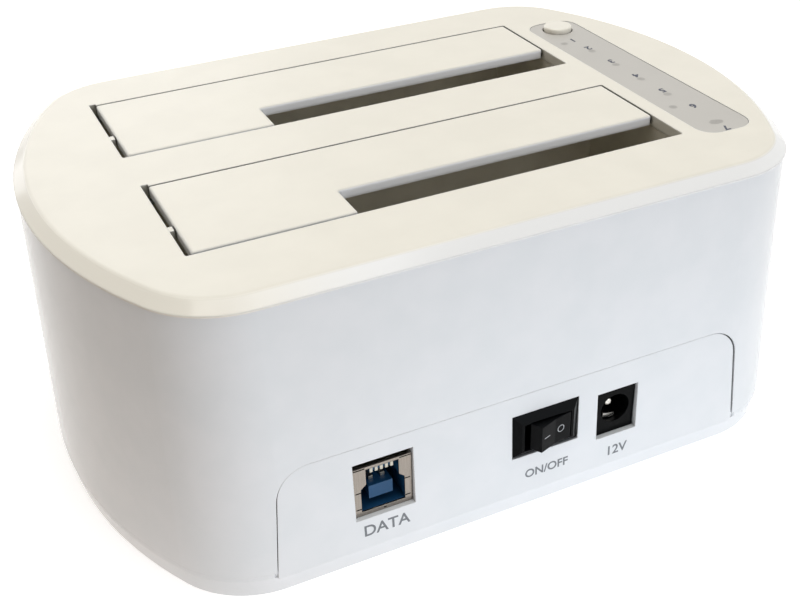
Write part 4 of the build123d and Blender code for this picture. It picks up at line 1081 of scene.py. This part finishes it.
@dataclass
class ControlStrip:
    """The grey film strip with its button, lamp windows and printed numbers.

    Attributes:
        numbers: each number's text and its place x, y in mm
        number_height: height of the numbers
        number_weight: how far their strokes are fattened
        ray_height: height at which the rays down to the strip start, in mm
    """

    numbers: tuple[tuple[str, float, float], ...] = (
        ("1", -57.0, -22.2), ("2", -57.4, -16.0), ("3", -57.3, -6.3), ("4", -57.3, 3.6),
        ("5", -57.3, 13.5), ("6", -58.0, 23.5), ("7", -57.0, 35.6))
    number_height: float = 1.9
    number_weight: float = 0.09
    ray_height: float = 80.0

    def build(self) -> None:
        """Dresses the strip and prints its numbers."""
        dress(STRIP_FILM, "control_strip")
        dress(LIGHT_PIPE, "light_pipes")
        dress(CAP_IVORY, "clone_button")
        dress(BOARD_GREEN, "indicator_board")
        dress(LAMP_WHITE, "indicator_lamps")
        dress(SCREW_STEEL, "indicator_screws")
        dress(BLACK_NYLON_AND_SLIT_SHADE, "tact_plunger")
        dress(CHIP_EPOXY, "tact_switch")
        self.print_numbers()

    def print_numbers(self) -> None:
        """Prints a plain number beside each lamp."""
        for text, x, y in self.numbers:
            start = Vector((x * MM, y * MM, self.ray_height * MM))
            point, normal = hit("control_strip", start, Vector((0, 0, -1)))
            place = stand(point, normal, Vector((0, 1, 0)), INK_LIFT_MM)
            mark = PrintedMark(f"strip_number_{text}", text, self.number_height, weight_mm=self.number_weight)
            mark.lay(place, STRIP_INK, "housing")


@dataclass
class RearPanel:
    """The connectors on the rear wall: data port, power switch and power inlet, with their labels.

    Attributes:
        labels: each label's name, text, place x and z in mm, and height of its capitals
        rocker_middle: x of the rocker's middle in mm
        rocker_z: height of the rocker's middle in mm
        on_reach: how far the I stands from the middle of the rocker
        off_reach: how far the O stands from it
        rocker_mark: height of the marks on the rocker
        rocker_weight: how far their strokes are fattened, here thinned
        slits: where the data port's folded front has slits, each from x to x at a height, in mm
        slit_width: width of a slit
        slit_lift: how far the painted shade strip of a slit stands off the steel
        ray_start: distance behind the body's middle at which the rays to the panel start, in mm
    """

    labels: tuple[tuple[str, str, float, float, float], ...] = (
        ("label_data", "DATA", 29.4, 9.0, 2.5),
        ("label_on_off", "ON/OFF", -6.0, 9.4, 1.9),
        ("label_supply", "12V", -22.7, 8.0, 2.2))
    rocker_middle: float = -5.6
    rocker_z: float = 19.4
    on_reach: float = 1.0
    off_reach: float = -2.6
    rocker_mark: float = 1.7
    rocker_weight: float = -0.05
    slits: tuple[tuple[float, float, float], ...] = (
        (35.2, 33.0, 23.42), (25.7, 23.5, 23.42), (34.9, 34.0, 17.9), (24.7, 23.8, 18.0),
        (34.9, 34.0, 13.9), (24.7, 23.8, 13.85), (29.3, 28.9, 12.6))
    slit_width: float = 0.24
    slit_lift: float = 0.015
    ray_start: float = 100.0

    def build(self) -> None:
        """Dresses the connectors, prints their marks and lays painted shade in the port's slits."""
        dress(PLATED_STEEL, "port_shell", "switch_terminals")
        dress(BRIGHT_NICKEL, "jack_pin", "jack_leaf")
        dress(PORT_BLUE, "port_insulator")
        dress(TIN_PLATE, "port_contacts")
        dress(BLACK_NYLON_AND_SLIT_SHADE, "jack_body", "switch_housing")
        dress(ROCKER_BLACK, "switch_rocker")
        dress(WIRE_RED, "switch_wires")
        self.print_labels()
        self.print_rocker_marks()
        self.paint_slit_shade()

    def print_labels(self) -> None:
        """Prints the labels on the leaning wall."""
        for name, text, x, z, height in self.labels:
            start = Vector((x * MM, self.ray_start * MM, z * MM))
            point, normal = hit("base_tray", start, Vector((0, -1, 0)))
            place = stand(point, normal, Vector((0, 0, 1)), INK_LIFT_MM)
            PrintedMark(name, text, height).lay(place, LABEL_INK, "housing")

    def print_rocker_marks(self) -> None:
        """Prints I and O on the two halves of the rocker."""
        for name, text, reach, turn in (("rocker_on", "I", self.on_reach, 1),
                                        ("rocker_off", "O", self.off_reach, 0)):
            start = Vector(((self.rocker_middle + reach) * MM, self.ray_start * MM, self.rocker_z * MM))
            point, normal = hit("switch_rocker", start, Vector((0, -1, 0)))
            place = stand(point, normal, Vector((0, 0, 1)), INK_LIFT_MM)
            mark = PrintedMark(name, text, self.rocker_mark, weight_mm=self.rocker_weight, turn=turn)
            mark.lay(place, ROCKER_INK, "power_rocker")

    def paint_slit_shade(self) -> None:
        """Builds flat black strips where the tabs of the data port's steel front meet: painted shade that
        stands for the dark inside the slits.
        """
        build = bmesh.new()
        for first_x, last_x, z in self.slits:
            middle = Vector(((first_x + last_x) / 2 * MM, self.ray_start * MM, z * MM))
            point, normal = hit("port_shell", middle, Vector((0, -1, 0)))
            half = Vector(((last_x - first_x) / 2 * MM, 0, 0))
            point = point + normal * self.slit_lift * MM
            slit(build, point - half, point + half, normal, self.slit_width * MM)
        new_piece("port_slit_shade", build, BLACK_NYLON_AND_SLIT_SHADE, "housing")


@dataclass
class Electronics:
    """The main board and what it carries.

    Attributes:
        legend_line: width of the printed lines on the board
        legend_gap: distance of a printed frame from its chip
        legend_film: thickness of the print
    """

    legend_line: float = 0.2
    legend_gap: float = 0.6
    legend_film: float = 0.02

    def build(self) -> None:
        """Dresses the board and prints frames round its chips."""
        dress(BOARD_GREEN, "main_board")
        dress(SCREW_STEEL, "board_screws")
        dress(CHIP_EPOXY, "bridge_chip", "memory_chips")
        dress(PLATED_STEEL, "crystal")
        dress(CAN_ALUMINIUM, "capacitors")
        dress(FERRITE, "inductors")
        dress(HEADER_CREAM, "ribbon_headers")
        dress(RIBBON_GREY, "ribbon_cable")
        self.chip_legend()

    def chip_legend(self) -> None:
        """Builds the white frames printed round the large chip and the crystal."""
        lines = bmesh.new()
        for name in ("bridge_chip", "crystal"):
            low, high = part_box(name)
            grow = 2 * self.legend_gap * MM
            middle = Vector(((low[0] + high[0]) / 2, (low[1] + high[1]) / 2, low[2]))
            frame_outline(lines, high[0] - low[0] + grow, high[1] - low[1] + grow, self.legend_line * MM,
                          self.legend_film * MM, middle)
        bmesh.ops.recalc_face_normals(lines, faces=lines.faces)
        new_piece("board_legend", lines, LEGEND_INK, "housing")


@dataclass(frozen=True)
class SoftLight:
    """A large soft box.

    Attributes:
        name: the lamp's name
        spot: where it stands, in metres
        aim: what it faces, in metres
        size: its side, in metres
        power: its power, in watts
        colour: the colour of its light
    """

    name: str
    spot: tuple[float, float, float]
    aim: tuple[float, float, float]
    size: float
    power: float
    colour: str = WHITE

    def hang(self) -> None:
        """Hangs the lamp and turns it to what it faces."""
        lamp = bpy.data.lights.new(self.name, "AREA")
        lamp.shape = "SQUARE"
        lamp.size = self.size
        lamp.energy = self.power
        lamp.color = linear(self.colour)[:3]
        holder = bpy.data.objects.new(self.name, lamp)
        bpy.context.scene.collection.objects.link(holder)
        holder.location = self.spot
        holder.rotation_euler = (Vector(self.aim) - Vector(self.spot)).to_track_quat("-Z", "Y").to_euler()
        LOG.info("lamp %s", self.name)


@dataclass
class Studio:
    """Pale floor, soft light and the camera at the photograph's angle.

    Attributes:
        floor_reach: half the floor's side, in metres
        floor_colour: colour of its paint
        floor_glow: light that is added to the paint, so that it looks white round the shadow
        open_strength: strength of the light from the open side of the room
        open_colour: its colour
        dim_strength: strength of the light from the dim side
        dim_colour: its colour, a warm beige
        dim_way: the way to the dim side
        dim_span: how far a direction agrees with that way where the room starts to dim and is dimmest
        pool_spot: middle of the pool of light on the floor, in metres
        pool_reach: distances from it at which the floor starts to dim and is dimmest, in metres
        pool_strength: the light that the floor throws back there, in the pool and outside
        pool_colours: its colours there
        lamps: the soft boxes
        eye: the camera's place in metres
        right: its right-hand direction
        up: its upward direction
        forward: the way it looks
        lens: focal length in mm
        sensor: width of the sensor in mm
        near: distance from the eye at which the picture starts, in metres
    """

    floor_reach: float = 0.75
    floor_colour: str = "F2F2F2"
    floor_glow: float = 0.42
    open_strength: float = 0.42
    open_colour: str = WHITE
    dim_strength: float = 0.07
    dim_colour: str = "FFDDB6"
    dim_way: tuple[float, float, float] = (0.86, 0.5, 0.0)
    dim_span: tuple[float, float] = (0.2, 0.9)
    pool_spot: tuple[float, float, float] = (-0.03, 0.14, 0.0)
    pool_reach: tuple[float, float] = (0.03, 0.29)
    pool_strength: tuple[float, float] = (1.55, 0.18)
    pool_colours: tuple[str, str] = ("F4F9FF", "FFDFBE")
    lamps: tuple[SoftLight, ...] = (
        SoftLight("overhead_box", (-0.02, -0.1, 1.3), (0.0, 0.0, 0.03), 1.2, 10.2, "FFFDF7"),
        SoftLight("front_box", (0.1, -1.3, 0.5), (0.0, 0.0, 0.05), 1.0, 3.5, "F7F9FF"),
        SoftLight("rear_box", (-0.3, 1.2, 0.5), (0.0, 0.03, 0.03), 0.8, 3.5, "EEF5FF"))
    eye: tuple[float, float, float] = (0.09439, 0.209025, 0.16681)
    right: tuple[float, float, float] = (-0.90441, 0.42563, -0.02957)
    up: tuple[float, float, float] = (-0.25142, -0.47567, 0.84292)
    forward: tuple[float, float, float] = (-0.34471, -0.76979, -0.53722)
    lens: float = 53.256
    sensor: float = 36.0
    near: float = 0.01

    def build(self) -> None:
        """Builds floor, room light, lamps and camera."""
        self.floor()
        self.room()
        for lamp in self.lamps:
            lamp.hang()
        self.camera()
        bpy.context.scene.view_settings.view_transform = "Standard"

    def floor(self) -> None:
        """Lays the pale floor that the station stands on."""
        build = bmesh.new()
        bmesh.ops.create_grid(build, x_segments=1, y_segments=1, size=self.floor_reach)
        mesh = bpy.data.meshes.new("studio_floor")
        build.to_mesh(mesh)
        build.free()
        ground = bpy.data.objects.new("studio_floor", mesh)
        bpy.context.scene.collection.objects.link(ground)
        mesh.materials.append(self.floor_paint())
        LOG.info("floor laid")

    def floor_paint(self) -> bpy.types.Material:
        """Builds the floor's white paint, which looks white to the camera and keeps the shadow.

        Returns:
            the material
        """
        made = bpy.data.materials.new("matt_white_paint")
        made.use_nodes = True
        tree = made.node_tree
        tree.nodes.clear()
        paint = add_node(tree, "ShaderNodeBsdfDiffuse", {"Color": linear(self.floor_colour)})
        glow = add_node(tree, "ShaderNodeEmission", {"Color": linear(WHITE), "Strength": self.floor_glow})
        lit = add_node(tree, "ShaderNodeAddShader", links={0: paint.outputs[0], 1: glow.outputs[0]})
        both = add_node(tree, "ShaderNodeMixShader",
                        links={0: self.seen_rays(tree), 1: self.light_pool(tree), 2: lit.outputs[0]})
        add_node(tree, "ShaderNodeOutputMaterial", links={"Surface": both.outputs[0]})
        return made

    def light_pool(self, tree: bpy.types.NodeTree) -> bpy.types.NodeSocket:
        """The light that the floor throws back on matt surfaces: a bright pool behind the station.

        Args:
            tree: the floor's node tree
        Returns:
            the socket that holds the light
        """
        place = add_node(tree, "ShaderNodeTexCoord").outputs["Object"]
        away = add_node(tree, "ShaderNodeVectorMath", {"operation": "DISTANCE", 1: self.pool_spot},
                        {0: place})
        share = add_node(tree, "ShaderNodeMapRange",
                         {"interpolation_type": "SMOOTHSTEP", "From Min": self.pool_reach[0],
                          "From Max": self.pool_reach[1]},
                         {"Value": away.outputs["Value"]})
        inside, outside = self.pool_colours
        colour = add_node(tree, "ShaderNodeMix",
                          {"data_type": "RGBA", 6: linear(inside), 7: linear(outside)},
                          {0: share.outputs["Result"]})
        strength = add_node(tree, "ShaderNodeMapRange",
                            {"To Min": self.pool_strength[0], "To Max": self.pool_strength[1]},
                            {"Value": share.outputs["Result"]})
        return add_node(tree, "ShaderNodeEmission", None,
                        {"Color": colour.outputs[2], "Strength": strength.outputs["Result"]}).outputs[0]

    def seen_rays(self, tree: bpy.types.NodeTree) -> bpy.types.NodeSocket:
        """The rays that show the white room: those from the camera, off a shine and through glass.

        Args:
            tree: the node tree that takes the nodes
        Returns:
            the socket that is 1 for those rays and 0 for the others
        """
        rays = add_node(tree, "ShaderNodeLightPath")
        seen = rays.outputs["Is Camera Ray"]
        for kind in ("Is Glossy Ray", "Is Transmission Ray"):
            seen = add_node(tree, "ShaderNodeMath", {"operation": "MAXIMUM"},
                            {0: seen, 1: rays.outputs[kind]}).outputs[0]
        return seen

    def room(self) -> None:
        """Builds the room, white to the eye, with an open side and a dim one as its light."""
        world = bpy.data.worlds.new("white_room")
        world.use_nodes = True
        tree = world.node_tree
        tree.nodes.clear()
        way = add_node(tree, "ShaderNodeTexCoord").outputs["Generated"]
        toward = add_node(tree, "ShaderNodeVectorMath", {"operation": "DOT_PRODUCT", 1: self.dim_way},
                          {0: way})
        share = add_node(tree, "ShaderNodeMapRange",
                         {"interpolation_type": "SMOOTHSTEP", "From Min": self.dim_span[0],
                          "From Max": self.dim_span[1]},
                         {"Value": toward.outputs["Value"]})
        colour = add_node(tree, "ShaderNodeMix",
                          {"data_type": "RGBA", 6: linear(self.open_colour), 7: linear(self.dim_colour)},
                          {0: share.outputs["Result"]})
        strength = add_node(tree, "ShaderNodeMapRange",
                            {"To Min": self.open_strength, "To Max": self.dim_strength},
                            {"Value": share.outputs["Result"]})
        dim = add_node(tree, "ShaderNodeBackground", None,
                       {"Color": colour.outputs[2], "Strength": strength.outputs["Result"]})
        white = add_node(tree, "ShaderNodeBackground", {"Color": linear(WHITE), "Strength": 1.0})
        both = add_node(tree, "ShaderNodeMixShader",
                        links={0: self.seen_rays(tree), 1: dim.outputs[0], 2: white.outputs[0]})
        add_node(tree, "ShaderNodeOutputWorld", links={"Surface": both.outputs[0]})
        bpy.context.scene.world = world

    def camera(self) -> None:
        """Sets up the camera at the photograph's angle."""
        lens = bpy.data.cameras.new("main_camera")
        lens.lens = self.lens
        lens.sensor_width = self.sensor
        lens.clip_start = self.near
        holder = bpy.data.objects.new("main_camera", lens)
        bpy.context.scene.collection.objects.link(holder)
        holder.matrix_world = Matrix([[self.right[i], self.up[i], -self.forward[i], self.eye[i]]
                                      for i in range(3)] + [[0.0, 0.0, 0.0, 1.0]])
        bpy.context.scene.camera = holder
        LOG.info("camera set")


def main() -> None:
    """Builds the sub-assemblies and the studio in order."""
    logging.basicConfig(level=logging.INFO, format="%(message)s")
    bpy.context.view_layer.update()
    for part in (Housing(), DriveBays(), ControlStrip(), RearPanel(), Electronics(), Studio()):
        LOG.info("building %s", type(part).__name__)
        part.build()
    bpy.context.view_layer.update()


if __name__ == "__main__":
    main()
